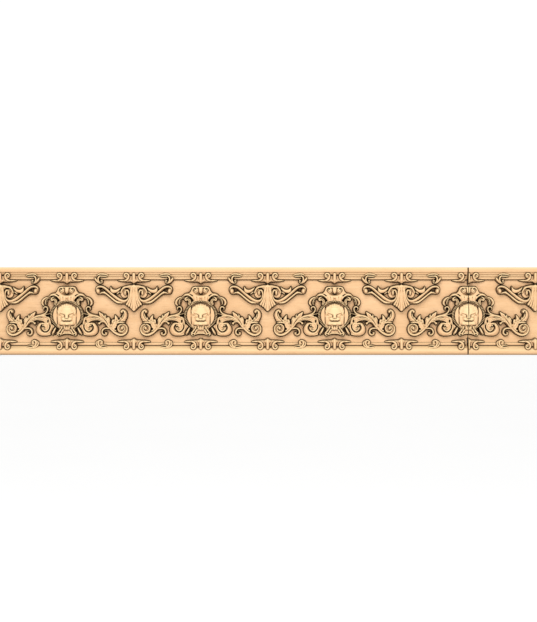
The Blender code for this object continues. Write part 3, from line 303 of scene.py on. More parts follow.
def clasps(relief):
    """Small leaf clasps midway, one on each moulding."""
    relief.strand([(51, 140.5), (52.6, 137.6), (56.2, 133.6), (59.8, 130.8)], (1.6, 2.4, 2.2, 1.2),
                  (9.4, 9.6, 9.2, 8.0), wall=0.6)
    relief.strand([(60.4, 144.6), (57.6, 141.8), (56.8, 137.6), (58.6, 133.4), (60.4, 131.8)],
                  (1.4, 1.8, 1.8, 1.6, 1.0), (10.2, 10.8, 10.6, 9.8, 8.6), wall=0.65)
    relief.strand([(54.6, 145.0), (59, 147.4), (65, 147.8), (71, 146.8), (76, 144.8)],
                  (0.8, 1.3, 1.4, 1.2, 0.5), (9.2, 10.2, 10.4, 9.8, 8.8), wall=0.85)
    relief.strand([(60.4, 144.0), (65.6, 143.8), (71.5, 143.8), (75, 144.8)], (1.2, 1.3, 1.2, 0.5),
                  (10.2, 9.8, 9.2, 8.4), wall=0.8)
    relief.strand([(61, 142.4), (59.4, 139), (59.2, 135.6)], (0.6, 0.8, 0.6), (1.2, 2.4, 1.6),
                  groove=True)
    relief.strand([(62, 142.0), (68, 141.7), (74, 142.3)], 0.6, (1.2, 1.6, 0.8), groove=True)
    relief.boss((62.2, 135.2), (1.6, 1.9), 9.0, 5.0)
    relief.strand([(60.6, 131.4), (63.2, 131.6), (64.4, 134.4), (63.6, 137.6)], (1.2, 1.1, 1.0, 0.8),
                  (8.2, 8.2, 8.0, 7.6), wall=0.6)
    relief.pocket((52.6, 142.5), (1.0, 0.7), 6.2)
    relief.mass([(51.4, 21), (53, 24.6), (56.6, 27.2), (60, 27.8), (63.4, 26.4), (65.2, 23.0), (64.4, 18),
                 (58, 16), (53, 17.6)], 4.6, 0.8, 1.0)
    relief.strand([(63, 25.4), (60.4, 26.6), (57.6, 25.4), (56.6, 22.2), (57.4, 18.6), (60, 15.8),
                   (64, 14.2)], (1.0, 1.5, 1.7, 1.7, 1.7, 1.6, 1.2), (5.6, 6.4, 6.8, 7.2, 8.0, 8.6, 8.6),
                  wall=0.7)
    relief.strand([(62.6, 26.2), (64.2, 24.4), (63.2, 21.6), (61.2, 19.6)], (1.0, 1.1, 1.0, 0.6),
                  (5.6, 5.8, 6.0, 6.0), wall=0.7)
    relief.pocket((60.1, 23.4), (0.7, 1.8), 2.2)
    relief.strand([(53.6, 24.2), (52.8, 21), (54.2, 17.4), (57.4, 14.6), (62, 13)],
                  (1.0, 1.5, 1.6, 1.4, 0.8), (4.8, 5.6, 7.0, 8.2, 8.6), wall=0.75)
    relief.strand([(62, 16.8), (67, 18.0), (72.6, 17.6)], (0.9, 1.2, 0.6), (6.6, 6.0, 4.4), wall=0.8)
    relief.strand([(62, 14.4), (67.5, 13.6), (73.4, 14.8)], (1.0, 1.3, 0.6), (8.6, 8.4, 7.0), wall=0.85)


def feathers(relief):
    """Plumes and C-scroll that spring from the cartouche's shoulder."""
    relief.mass([(27, 104), (30, 107), (35, 106.6), (41.5, 103), (45.4, 97), (43.6, 91.4), (38, 90.8),
                 (36.4, 94), (36.6, 99), (33.6, 102.2)], 4.4, 0.8)
    relief.strand([(12.4, 99.4), (14.6, 104.2), (18, 108.0), (23, 110.4), (28.4, 109.8), (33.4, 106.4)],
                  (1.8, 2.1, 2.4, 2.3, 0.9), (10.5, 11, 11.5, 11.5, 8), right_lip, 0.5)
    relief.strand([(20.5, 106.2), (25, 105.2), (28.2, 102.8), (28.0, 100.2), (25.6, 99.8)],
                  (0.7, 1.4, 1.8, 1.9, 1.6), (9, 11, 12, 12, 11.5), wall=0.5)
    relief.strand([(21.4, 93.2), (19.9, 97.4), (21.8, 101.0), (26.4, 101.8)], (2.4, 2.9, 2.6, 1.2),
                  (11, 12.8, 13, 11.5), veined, 0.5)
    relief.strand([(11.6, 97.8), (14.5, 96.6), (17.6, 93.8)], (1.6, 1.6, 1.6), (10, 10, 9.5), wall=0.5)
    relief.strand([(14.6, 99.0), (16.0, 101.6), (19.4, 104.0), (23.6, 104.6)], (1.2, 1.4, 1.2, 0.6),
                  (9, 10, 8, 5), groove=True)
    relief.strand([(33, 105.4), (37.4, 104.4), (41.8, 101.6), (44.4, 97.6), (44.6, 93.8), (42.2, 90.6)],
                  (0.8, 1.8, 2.3, 2.5, 2.4, 1.4), (7.5, 10, 11.5, 12, 11.5, 10), left_lip, 0.5)
    relief.strand([(33.6, 103.8), (37.0, 102.2), (39.0, 98.6), (39.4, 94.6), (38.6, 91.6)],
                  (0.7, 1.2, 1.3, 1.3, 0.8), (7, 9, 9.6, 9.6, 8.6), wall=0.5)
    relief.strand([(35.4, 101.2), (36.8, 98), (37.2, 94.4)], (0.6, 0.8, 0.6), (7, 8, 7), wall=0.5)
    relief.strand([(47, 73.4), (41.0, 75.0), (37.0, 78.6), (35.2, 83.0), (36.2, 86.8), (39.4, 88.2),
                   (42.4, 86.4), (42.2, 83.4)], (1.5, 1.8, 1.7, 1.7, 1.6, 1.6, 1.5, 1.3),
                  (9.5, 10, 10.5, 11, 11, 11, 11, 10.5), wall=0.5)
    relief.pocket((39.0, 84.4), (1.1, 2.0), 0.0, 20)
    relief.strand([(29.5, 76.4), (34, 74.9), (39, 74.0), (45, 73.2)], (0.9, 1.0, 1.2, 1.6), MID, wall=0.5)


def crest(relief):
    """Softly fluted neck over the ring, with a bud between two volutes."""
    relief.mass([(-6, 94), (0, 94), (11.6, 95), (13.2, 100), (15.4, 106), (20.4, 112.2), (18.2, 117),
                 (15.6, 123.0), (11.4, 124.8), (0, 124.9), (-6, 124.9)], 9.4, 0.85, 1.2)
    for foot, lean in ((4.4, 1.0), (9.4, 2.4)):
        relief.strand([(foot, 96.5), (foot + lean * 0.2, 103), (foot + lean, 109)], (2.8, 2.7, 2.2),
                      (11.4, 11.2, 9.6), wall=0.84)
    relief.swell((0, 102.2), (2.4, 2.6), -1.6)
    relief.swell((0, 111.5), (14.0, 4.0), -6.0)
    relief.strand([(0, 123.5), (6, 123.7), (11, 123.4), (14.6, 121.0), (16.2, 117.2), (18.2, 114),
                   (22, 111.6)], (1.2, 1.2, 1.3, 1.5, 1.5, 1.6, 1.0),
                  (11.4, 11.4, 11.4, 11.2, 10.6, 10, 8), wall=0.85)
    relief.boss((8.7, 118.0), (5.0, 4.9), 13.2, 9.4)
    relief.strand([(12.0, 121.4), (13.4, 118.2), (12.2, 114.8)], (0.5, 0.6, 0.5), (1.0, 1.6, 1.6),
                  groove=True)
    relief.strand([(10.4, 120.4), (11.2, 117.4), (9.0, 115.6), (6.8, 117.0), (7.6, 119.0)],
                  (0.5, 0.5, 0.5, 0.5, 0.4), (1.6, 1.2, 1.0, 1.0, 0.6), groove=True)
    relief.strand([(0, 120.6), (0, 117.4), (0, 114.2)], (4.2, 3.9, 2.4), (13.4, 14.0, 12.6), wall=0.76)
    relief.pocket((9.9, 120.8), (1.7, 0.9), 2.0, 6)
    relief.strand([(15.2, 108.0), (18.8, 110.8)], (0.9, 0.6), (5, 3), groove=True)


def spray(relief):
    """Stems that sweep from the ring over the big volute into the leaf."""
    relief.mass([(28, 56), (29, 66), (33, 69.9), (39, 72.4), (47, 74.0), (56, 73.0), (64, 69.5), (72, 62),
                 (72, 57), (64, 61.8), (56, 63.8), (48, 63.6), (41, 59.8), (36, 54)], 8.8, 0.8, 1.2)
    relief.strand([(31.4, 65.8), (35.6, 69.4), (42, 71.4), (49.4, 71.6), (56, 70.2), (62, 67.0),
                   (68, 62.8), (73, 58.0)], (1.7, 2.1, 2.4, 2.5, 2.4, 2.2, 1.8, 1.4),
                  (10.5, 11.4, 11.6, 11.6, 11.2, 10.5, 10))
    relief.strand([(38.4, 60.8), (42.2, 65.0), (49, 67.6), (56, 67.0), (62, 64.6), (68, 60.4), (72, 56.6)],
                  (0.9, 1.5, 1.9, 1.9, 1.7, 1.4, 1.0), (9.5, 10.8, 11.2, 11, 10.6, 10, 9.5))
    relief.strand([(39.6, 59.6), (45.6, 63.4), (52.6, 64.6), (60, 63.2), (66, 60.2)],
                  (0.6, 1.0, 1.1, 1.0, 0.7), (8, 9, 9.2, 9, 8))
    relief.strand([(38.4, 58.8), (44.6, 62.0), (51, 62.7), (58, 61.8)], (0.5, 0.8, 0.9, 0.6),
                  (6, 7.4, 7.6, 7))
    relief.strand([(29.6, 56), (31.0, 61), (32.4, 66)], (1.5, 2.2, 1.8), 11.2, wall=0.55)
    relief.strand([(36.2, 56.5), (36.8, 60.6), (36.8, 64.8)], (1.2, 1.4, 1.2), MID, wall=0.55)
    relief.strand([(55.6, 73.2), (59, 72.0), (62.4, 70.0), (66, 66.6)], (0.4, 1.1, 1.0, 0.3), (5, 9, 9, 4),
                  groove=True)
    relief.pocket((34.6, 61.9), (0.7, 2.4), 2.5, 6)
    relief.pocket((34.6, 71.6), (3.2, 1.4), 0.0, -4)


def big_volute(relief):
    """Broad scroll under the spray with a curled leaf in its eye, and the leaves between it and the ring."""
    relief.mass([(20.6, 50), (25, 55.4), (30, 57.4), (36, 58.4), (43, 59.6), (50, 58.8), (54.4, 53.6),
                 (56.8, 47), (55.4, 41), (50.6, 36.4), (44, 35.2), (36.4, 35.4), (31, 36.6), (28.8, 38.6),
                 (26.4, 36.0), (22.4, 42)], 8.0, 0.8, 1.4)
    relief.strand([(34.6, 38.8), (40.6, 38.4), (46.6, 39.6), (51.2, 43.8), (52.4, 49.4), (50, 54.4),
                   (45.2, 57.4), (40, 57.4)], (3.0, 3.4, 4.0, 4.2, 3.6, 2.8, 2.0, 1.6),
                  (9.5, 11, 11.8, 12.2, 12.2, 12, 11.6, 10.8), left_lip, 0.6)
    relief.strand([(28.6, 55.6), (28.4, 50.6), (30.6, 45.4), (34.4, 40.8), (39.4, 38.2)],
                  (1.6, 2.0, 2.1, 2.0, 1.4), (9.5, 10, 10, 10, 9.5), wall=0.7)
    relief.boss((38.9, 50.0), (8.2, 8.4), 9.6, 8.0)
    relief.strand([(40.2, 58.4), (35.2, 56.8), (33.2, 51.6), (35, 46.6), (39.6, 44.2), (43.4, 46.4)],
                  (1.3, 1.7, 1.9, 1.8, 1.7, 1.2), (10, 10.6, 10.8, 11, 11, 10.4), wall=0.65)
    relief.strand([(46.4, 56.2), (47.4, 51.6), (46.2, 46.4), (41.6, 42.4), (36.2, 43.4), (31.8, 48),
                   (30.8, 54)], (0.5, 0.8, 0.8, 0.8, 0.8, 0.8, 0.5), (3.0, 3.6, 3.6, 3.4, 3.4, 3.4, 2.4),
                  groove=True)
    for lump, radii in (((39.2, 51.4), (1.7, 1.5)), ((42.2, 49.4), (1.7, 1.9)), ((43.6, 53.6), (1.5, 2.2)),
                        ((40.2, 47.4), (1.4, 1.2))):
        relief.boss(lump, radii, 11.8, 7.0)
    relief.strand([(45.6, 55.4), (44.6, 51.2), (41.8, 52.4), (41.0, 50.0)], (0.5, 0.7, 0.6, 0.4),
                  (1.6, 3.2, 2.6, 1.4), groove=True)
    relief.strand([(23.2, 50.2), (25.4, 46.4), (28.0, 42.2), (30.0, 39.6)], (0.8, 1.0, 0.9, 0.5),
                  (8, 8, 6, 3), groove=True)
    relief.strand([(20.2, 49.6), (22.0, 46.4), (24.2, 42.2), (27.0, 38.2)], (1.3, 2.0, 2.1, 1.0),
                  (13, 13.8, 13, 10), wall=0.75)
    relief.pocket((20.6, 40.0), (1.3, 4.6), EYE_DEPTH, 36)
    relief.pocket((17.6, 44.0), (2.0, 1.6), EYE_DEPTH, -20)
    relief.pocket((28.4, 38.9), (0.9, 0.7), 3.0, 40)


def cartouche_foot(relief):
    """Crossed straps and curls under the ring."""
    relief.mass([(-6, 38.2), (0, 38.2), (5, 38.0), (9.4, 36.6), (13, 35.2), (17.0, 35.6), (18.2, 38.6),
                 (16.4, 42.6), (15, 47), (17, 54), (0, 54), (-6, 54)], 7.4, 0.8, 1.4)
    relief.strand([(5.4, 47.2), (8.4, 44.2), (10.4, 40.6), (11.6, 36.8)], (1.7, 1.7, 1.5, 1.1),
                  (10.0, 10.2, 10.0, 9.4), wall=0.75)
    relief.strand([(10.6, 50.4), (11.8, 46.2), (14.4, 43.0), (17.0, 40.4), (16.4, 37.0), (13.8, 36.6),
                   (12.4, 39.4)], (1.8, 1.9, 1.8, 1.7, 1.5, 1.3, 1.1),
                  (10.6, 11, 11.4, 11.4, 11, 10.6, 10.2), wall=0.65)
    relief.boss((14.8, 39.6), (2.2, 2.0), 11.4, 6.0)
    relief.strand([(0, 40.2), (5, 40.0), (9, 38.4)], (1.4, 1.4, 1.0), (9.2, 9.2, 8.8), wall=0.8)
    relief.pocket((13.6, 37.5), (1.1, 0.9), 2.0)


def acanthus(relief):
    """Broad leaf at the end of the spray: two lobed halves either side of a slit."""
    relief.mass([(57.2, 79.6), (61.4, 76.6), (65.6, 73.2), (68.6, 74.8), (70.4, 72.0), (72.2, 69.2),
                 (75.4, 69.8), (78.2, 66.8), (79, 61), (80.2, 57), (81.6, 61.6), (83.6, 66.0),
                 (86.4, 66.6), (87.8, 69.6), (86.6, 73.8), (90.4, 71.2), (94, 66.4), (96.4, 66.4),
                 (98.6, 70.0), (100, 65), (95, 60.6), (90, 57), (87, 51), (85, 44), (78, 46.5),
                 (72.6, 52.4), (68, 58), (63, 62.4), (59.6, 67), (58.8, 71.6), (57.4, 76.2)], 8.6, 0.6,
                2.4)
    for tip, bend in (((58.2, 78.8), (67.6, 70.2)), ((69.2, 73.8), (73.0, 66.2)), ((75.4, 68.8), (77.0,
                                                                                                  62.6))):
        relief.strand([tip, bend, (75.6, 59), (78.6, 50.5)], (0.7, 2.2, 2.4, 2.0), (8.4, 11.0, 11.6, 10.5),
                      veined, 0.62)
    for tip, bend in (((83.6, 65.4), (82.8, 60.4)), ((87.2, 72.6), (88.6, 65.6)), ((98.4, 69.2), (94,
                                                                                                  63.0))):
        relief.strand([tip, bend, (86.4, 57), (81.4, 49.4)], (0.7, 2.1, 2.4, 2.0), (8.4, 10.8, 11.4, 10.5),
                      veined, 0.62)
    relief.strand([(81.6, 68.5), (80.6, 62), (80, 57.0)], (1.8, 1.0, 0.7), (12, 11, 9), groove=True)
    relief.strand([(59, 57.9), (62, 60.6), (67, 61), (70.6, 59), (73.4, 55), (76.5, 51)],
                  (1.5, 1.6, 1.8, 2.1, 2.4), (9, 9.5, 10, 10.5, 10.5), wall=0.5)
    relief.boss((58.8, 57.8), (2.7, 2.7), 10.5, 4.0)
    relief.mass([(98.4, 62.0), (99.4, 68.0), (101.4, 73.0), (102.0, 76.4), (104.6, 75.6), (105.4, 70.0),
                 (103.4, 64.4), (101, 61.6)], 9.8, 0.8, 1.2)
    relief.strand([(89, 57.0), (94.5, 59.4), (100, 59.8), (105, 58.8)], (1.5, 2.1, 2.1, 1.0),
                  (9.5, 11, 11.2, 9))
    relief.strand([(97, 60.5), (102.8, 64.8), (106.2, 70), (106.8, 75.6), (104.6, 80.0), (101.4, 81.4),
                   (99, 79.4)], (2.2, 3.2, 3.6, 3.4, 2.8, 2.3, 2.2), (9.5, 10.8, 11.8, 12, 12, 12, 11.6),
                  left_lip, 0.6)
    relief.boss((99.9, 79.2), (3.1, 3.3), 12.8, 5.0)
    relief.strand([(102.8, 79.8), (103.8, 75.4), (103.4, 71.4), (101.2, 67.0), (97.6, 64.0)],
                  (0.6, 0.5, 0.5, 0.5, 0.4), (2.4, 1.2, 1.0, 1.0, 0.6), groove=True)
    relief.boss((104.6, 62.6), (2.3, 1.7), 9.0, 3.0, 20)
    for eye, radii in (((67.4, 73.0), (1.0, 1.2)), ((72.2, 69.4), (1.3, 1.1)), ((85.4, 66.4), (1.5, 1.4)),
                       ((94.6, 66.0), (1.6, 1.4)), ((99.6, 72.8), (1.4, 1.2)), ((80.3, 61.6), (0.8, 4.4))):
        relief.pocket(eye, radii, EYE_DEPTH)


def end_volute(relief):
    """Scroll of two turns that closes the spray below the swag, and its small counter curl."""
    relief.boss((99.4, 49.0), (9.0, 9.4), 7.0, 6.6)
    relief.mass([(82, 47.4), (86, 44.4), (90.6, 42.8), (89.6, 46.6), (90.0, 51.4), (92.6, 55.6),
                 (90.4, 58.2), (85, 56), (82, 52)], 9.8, 0.7, 1.8)
    relief.strand([(75, 54.0), (80, 48.6), (87, 41.8), (94, 37.8), (100.6, 37.2), (106.4, 40.2),
                   (109.2, 46.4), (107.8, 52.6), (103.2, 56.0), (98.2, 55.8)],
                  (2.4, 2.8, 2.8, 2.6, 2.4, 2.2, 1.9, 1.6, 1.4),
                  (10.8, 11, 11, 10.8, 10.6, 10.6, 10.4, 10.2, 10), right_lip, 0.5)
    relief.strand([(99, 56.0), (94.6, 53.6), (93.0, 49.2), (94.6, 44.8), (99.2, 42.6), (103.6, 44.6),
                   (104.8, 48.6), (102.6, 52.0), (99.6, 52.6)],
                  (1.5, 1.6, 1.7, 1.6, 1.5, 1.4, 1.4, 1.3, 1.1),
                  (9.8, 9.6, 9.4, 9.2, 9.2, 9.4, 10.0, 10.6, 10.6), wall=0.7)
    relief.boss((100.4, 49.2), (3.4, 3.5), 12.4, 6.0)
    relief.strand([(97.2, 48.4), (98.4, 51.6), (101.4, 52.4)], (0.5, 0.6, 0.4), (2.4, 2.6, 1.4),
                  groove=True)
    relief.pocket((93.0, 55.9), (2.4, 1.2), 0.0, 32)
    relief.pocket((88.4, 47.6), (1.3, 1.5), 1.5, 20)
    relief.strand([(78, 49.0), (72.4, 49.2), (67.4, 48.2), (64.2, 44.6), (64.0, 39.8), (67.2, 36.9),
                   (71.4, 37.6), (72.8, 40.6)], (2.2, 1.9, 1.8, 1.9, 1.9, 1.8, 1.6, 1.3),
                  (10.4, 10, 9.8, 9.8, 9.4, 9.2, 9.2), left_lip, 0.5)
    relief.boss((70.6, 40.2), (2.0, 2.2), 9.8, 4.0)
    relief.strand([(74.6, 46.2), (69.4, 45.6), (67.6, 42.6), (67.6, 39.6)], (0.5, 0.9, 0.9, 0.5),
                  (2, 4, 4, 2), groove=True)


def swag(relief):
    """Crossed bands of the swag, the wing leaf and the shoulder of the drop."""
    relief.mass([(53, 117), (54, 123.5), (60, 126), (67, 123.6), (78, 113), (88, 105), (97, 100),
                 (110, 99), (109, 94), (97, 93.6), (90, 95.2), (80, 104.4), (70, 111.6), (60, 111.6)], 4.5,
                0.9, 1.2)
    relief.pocket((63.4, 119), (5.8, 2.8), 0.0, -16)
    relief.strand([(57.6, 113.4), (54.4, 117), (54.6, 122.2), (59, 124.7), (65, 123.9), (71, 120.2),
                   (78, 113.8), (86, 107.2), (94, 101.2), (102, 98), (109.4, 99.6), (113.2, 105.4),
                   (113.4, 113), (110.6, 118.4), (107, 118)],
                  (2.1, 2.2, 2.2, 2.4, 2.6, 2.8, 3.2, 3.2, 2.8, 2.5, 2.2, 1.9),
                  (10.5, 11.2, 11.4, 11.2, 11.2, 11.6, 11.8, 11.4, 11), left_lip, 0.5)
    relief.boss((56.8, 116.6), (4.2, 5.2), 13.6, 6.0, 8)
    relief.boss((105, 112.5), (7.4, 8.6), 6.4, 6.0)
    relief.boss((106.2, 113.4), (3.0, 5.6), 12.8, 4.0)
    relief.pocket((110.2, 111), (0.8, 2.8), 4.0)
    relief.strand([(60, 112.6), (65.4, 114.2), (70.6, 112.4), (78, 106.6), (86, 99.8), (92.6, 95.8),
                   (100, 95.4)], (1.4, 1.8, 1.8, 1.8, 1.8, 1.6), (9, 9.5, 9.5, 9.5, 9.5, 9.2), wall=0.5)
    relief.strand([(66, 117.2), (73, 112.0), (82, 104.8), (90, 98.8), (97, 96.2)],
                  (0.5, 0.8, 0.8, 0.8, 0.5), 8.8, wall=0.7)
    relief.strand([(63, 119.6), (71, 115.2), (80, 107.8), (88, 101.4), (96, 98.2)],
                  (0.4, 0.5, 0.5, 0.5, 0.4), (0.8, 1.6, 1.8, 1.6, 0.8), groove=True)
    relief.mass([(88, 108), (92, 111.6), (99, 112.4), (103.6, 108.4), (110, 107.6), (109, 103.4),
                 (102, 101.2), (96, 102.6)], 2.2, 0.7, 2.0)
    relief.mass([(79.3, 126.4), (81, 122.4), (84.6, 119.8), (89.6, 119.6), (94.4, 121.8), (99, 124.4),
                 (97.4, 119.6), (93.6, 115.4), (88.6, 113), (83, 112.8), (79, 116), (78.4, 121)], 10.8,
                0.55, 3.0)
    relief.strand([(79.6, 124), (81.6, 119.4), (86.4, 117.2), (91.4, 117.8), (97.2, 122.6)],
                  (0.8, 1.8, 2.4, 1.9, 0.6), (10, 11.4, 12, 11.4, 9), left_lip, 0.75)
    relief.strand([(91, 111.6), (93.6, 114), (96.6, 115.6)], (1.4, 1.8, 1.0), (7, 8, 7.5), wall=0.5)
    relief.mass([(97, 113.6), (99.6, 120), (104, 125.6), (124, 125.9), (124, 100), (114, 96), (116.2, 104),
                 (117, 112), (114, 119.6), (108.6, 122.6), (103.6, 120), (101, 115), (99.4, 112.6)], 8.4,
                0.75, 1.6)
    relief.strand([(98.2, 114), (100.2, 119), (104.6, 123.2), (110, 124.2), (122, 124.2)],
                  (1.5, 1.8, 1.9, 1.7, 1.6), (9, 9.8, 10.4, 10.6, 10.6), wall=0.65)


def palmette(relief):
    """Fluted drop under the middle of the swag, with a scalloped lower edge."""
    relief.mass([(107, 93.6), (109.6, 91), (112.2, 90), (114.4, 87.6), (116.6, 86.2), (118.2, 82.4),
                 (122, 80.4), (128, 80.4), (128, 125.6), (117.6, 125.6), (119, 112), (116.4, 101),
                 (111, 96.4)], 9.6, 0.86, 1.2)
    for shoulder, tip in ((116.6, (109.2, 92.4)), (117.6, (113.2, 90)), (118.8, (117.2, 86.6))):
        middle = ((shoulder + tip[0]) / 2 + 1.6, 103)
        relief.strand([(shoulder, 123), middle, tip], (1.0, 1.7, 2.2), (MID, 11.2, 11.0), wall=0.78)
    relief.strand([(122, 124), (122, 102), (122, 83)], (1.6, 2.4, 3.2), (10.8, 11.8, 11.6), wall=0.8)


def ring(relief):
    """Roundel: a crescent at each side within a row of beads, the ground between sunk."""
    x, y = relief.x - RING_CENTRE[0], relief.y - RING_CENTRE[1]
    angle, radius = np.arctan2(y, x), np.hypot(x, y)
    outer, inner = (1 / np.hypot(np.cos(angle) / across, np.sin(angle) / up) for across,
                    up in (RING_REACH, CORD_INNER))
    cord = np.clip(np.abs(2 * radius - outer - inner) / (outer - inner), 0, 1)
    bead = np.abs(np.cos(BEADS / 2 * angle + 0.5 * (radius - inner)))
    height = CORD + BEAD * bead * np.sqrt(1 - cord * cord)
    within = np.minimum(inner - radius, x - CRESCENT_SIDE)
    swept = 1 - (1 - np.clip(within / CRESCENT_EASE, 0, 1)) ** 2
    ground = np.where(y > SUNK_ABOVE, SUNK, SUNK_FOOT)
    crescent = np.where(within > 0, CRESCENT_EDGE + (CRESCENT - CRESCENT_EDGE) * np.sqrt(swept), ground)
    height = np.where(radius < inner, crescent, height)
    relief.z = np.where(radius < outer, height, relief.z)


def lion(relief):
    """Lion mask: locks round a broad forehead that narrows to the nose, a curved mouth, a short chin."""
    relief.mass([(-6, 94.0), (0, 94.2), (2.4, 93.4), (5.0, 92.4), (8.8, 92.2), (10.4, 91.0), (11.2, 89.4),
                 (14.2, 88.6), (15.3, 86.2), (16.9, 84.6), (17.6, 77), (17.6, 70), (17.2, 62), (16.0, 57),
                 (13.0, 54.6), (8, 53.2), (0, 52.4), (-6, 52.4)], 12.2, 0.84, 1.8)
    for tip, root in (((0, 93.2), (0, 86)), ((4.6, 92.0), (4.0, 85)), ((8.6, 91.0), (7.4, 84)),
                      ((12.0, 88.4), (10.2, 82)), ((14.6, 86.2), (12.4, 79.8)), ((16.2, 81.6), (14.2,
                                                                                                75.6))):
        relief.strand([tip, ((tip[0] + root[0]) / 2, (tip[1] + root[1]) / 2), root], (1.3, 2.3, 2.2),
                      (13.2, 14.2, 14.2), wall=0.82)
    relief.boss((0, 80.0), (11.0, 11.4), 15.8, 11.0)
    relief.boss((12.6, 81.4), (4.6, 6.6), 13.4, 10.6, 12)
    relief.strand([(0, 82), (0, 76), (0, 71), (0, 67.6)], (6.8, 4.6, 3.1, 3.3), (14.6, 15.8, 16.6, 17.0),
                  wall=0.86)
    relief.strand([(3.6, 75.2), (7.2, 76.4), (11, 78.0), (14.4, 77.4)], (1.7, 2.0, 2.0, 1.2),
                  (15.0, 14.8, 14.2, 13.2), wall=0.86)
    relief.boss((12.9, 65.8), (4.6, 9.0), 13.4, 10.4, -4)
    relief.boss((7.4, 71.4), (4.0, 2.8), 13.8, 11.4, 14)
    relief.boss((5.0, 69.0), (3.4, 3.0), 13.8, 11.2)
    relief.boss((5.6, 65.6), (4.8, 3.3), 16.6, 12.6, 14)
    relief.boss((0, 65.2), (3.0, 3.2), 16.2, 12.0)
    relief.boss((0, 68.9), (3.2, 2.6), NOSE, 12.6)
    relief.mass([(-6, 61.2), (0, 61.3), (5, 61.1), (8.6, 62.0), (11.4, 61.4), (12.8, 58.6), (11.6, 55.6),
                 (8.6, 54.6), (5, 55.0), (0, 53.8), (-6, 53.8)], 14.2, 0.84, 2.4)
    relief.boss((0, 56.8), (4.2, 2.8), 15.8, 12.2)
    relief.strand([(0, 62.1), (4.4, 61.9), (7.2, 62.8), (9.0, 64.8), (9.6, 67.2)],
                  (0.6, 0.65, 0.6, 0.5, 0.4), (0.8, 0.9, 1.0, 0.9, 0.5), groove=True)
    relief.strand([(3.9, 68.2), (3.7, 70.8), (4.2, 73.2), (7.2, 74.6), (10.6, 76.2)],
                  (0.5, 0.6, 0.7, 0.6, 0.5), (0.5, 1.0, 1.6, 1.5, 0.7), groove=True)
    relief.strand([(10.0, 65.6), (11.0, 68.0), (14.2, 68.8)], (0.5, 0.6, 0.5), (0.5, 0.8, 0.5),
                  groove=True)
    relief.strand([(9.6, 70.8), (12.4, 73.2), (15.2, 71.4)], (0.5, 0.6, 0.5), (0.7, 1.0, 0.7),
                  groove=True)
    relief.strand([(0, 66.3), (3.2, 66.7)], (0.6, 0.5), (2.2, 1.2), groove=True)
    relief.strand([(0, 85.4), (4.4, 86.6), (8.6, 85.0)], (0.5, 0.6, 0.4), (0.6, 0.7, 0.3), groove=True)
    relief.strand([(0, 53.5), (3.2, 53.6), (5.4, 54.2)], (0.7, 0.7, 0.5), (2.2, 2.0, 0.8), groove=True)
    relief.strand([(6.0, 52.6), (8.4, 54.2), (11.2, 53.8), (13.2, 54.8), (15.0, 57.4)],
                  (0.5, 0.7, 0.7, 0.7, 0.5), (0.8, 1.8, 1.6, 1.8, 0.8), groove=True)
    for root, tip in (((0, 50.8), (0, 46.6)), ((4.2, 50.6), (2.0, 47.6)), ((9.2, 51.2), (7.6, 49.6))):
        relief.strand([root, ((root[0] + tip[0]) / 2 + 0.8 * (root[0] > 0), 49.4), tip], (2.0, 1.9, 0.9),
                      (12.2, 11.8, 10.6), wall=0.8)
    relief.pocket((7.0, 49.0), (1.5, 0.9), 6.0, -10)
    relief.soften((-1, 46), (17.6, 95), 0.35)


def carve(step):
    """The whole half repeat."""
    relief = Relief(step)
    cut_mouldings(relief)
    for at_foot in (False, True):
        fleur(relief, 0, 1, at_foot)
        fleur(relief, HALF, -1, at_foot)
    for work in (clasps, feathers, crest, swag, palmette, spray, cartouche_foot, big_volute, acanthus,
                 end_volute, ring, lion):
        work(relief)
    relief.soften((0, 0), (HALF, HEIGHT), 0.3)
    return relief


# The frieze in its frame: x along the length, z up, the flat back on y = 0, the face towards -y.
# Lengths in millimetres; MM and WELD in metres.
BOARD = 12.0
FIRST_SWAG = -488.0
MM = 0.001
WELD = 0.00005
NEAR_SIDE = 0.6
LOBE_REACH = 6.6
LOBE_ROWS = (8.0, 31.5)
JOINT_HALF = 0.5
JOINT_EASE = 0.8
JOINT_DROP = 1.2
JOINT_CHIP = 2.6
CHIP_DEPTH = 3.4
LONG_EASE = 0.8
GOUGE = 0.5
GOUGE_SHARE = 1.5
GOUGE_DEEPEST = 3.0
SHARP = math.radians(48)
LONG_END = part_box("frieze_long_length")[0].x / MM
SHORT_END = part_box("frieze_short_length")[1].x / MM
SEAM = (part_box("frieze_long_length")[1].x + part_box("frieze_short_length")[0].x) / 2 / MM
ENDS = {"frieze_long_length": (LONG_END, SEAM - JOINT_HALF),
        "frieze_short_length": (SEAM + JOINT_HALF, SHORT_END)}


def joint_half(mesh, whole):
    """A half repeat beside the joint: its arris eased, and on the broken side the lilies' lobes lost."""
    form = bmesh.new()
    form.from_mesh(mesh)
    for plane in (JOINT_CHIP, JOINT_HALF + JOINT_EASE, JOINT_HALF + JOINT_EASE / 2):
        bmesh.ops.bisect_plane(form, geom=form.verts[:] + form.edges[:] + form.faces[:], dist=WELD,
                               plane_co=(plane, 0, 0), plane_no=(1, 0, 0))
    for vertex in form.verts:
        x, y, z = vertex.co
        row = min(y, HEIGHT - y)
        if not whole and x < LOBE_REACH and LOBE_ROWS[0] < row < LOBE_ROWS[1]:
            z = min(z, max(float(top_moulding(HEIGHT - y)), float(foot_moulding(y))))
        if not whole and row < LOBE_ROWS[1]:
            z -= CHIP_DEPTH * max(0.0, 1 - x / JOINT_CHIP)
        fall = min(max(1 - (x - JOINT_HALF) / JOINT_EASE, 0.0), 1.0)
        vertex.co.z = z - JOINT_DROP * fall**2
    half = bpy.data.meshes.new("joint_half")
    form.to_mesh(half)
    form.free()
    return half


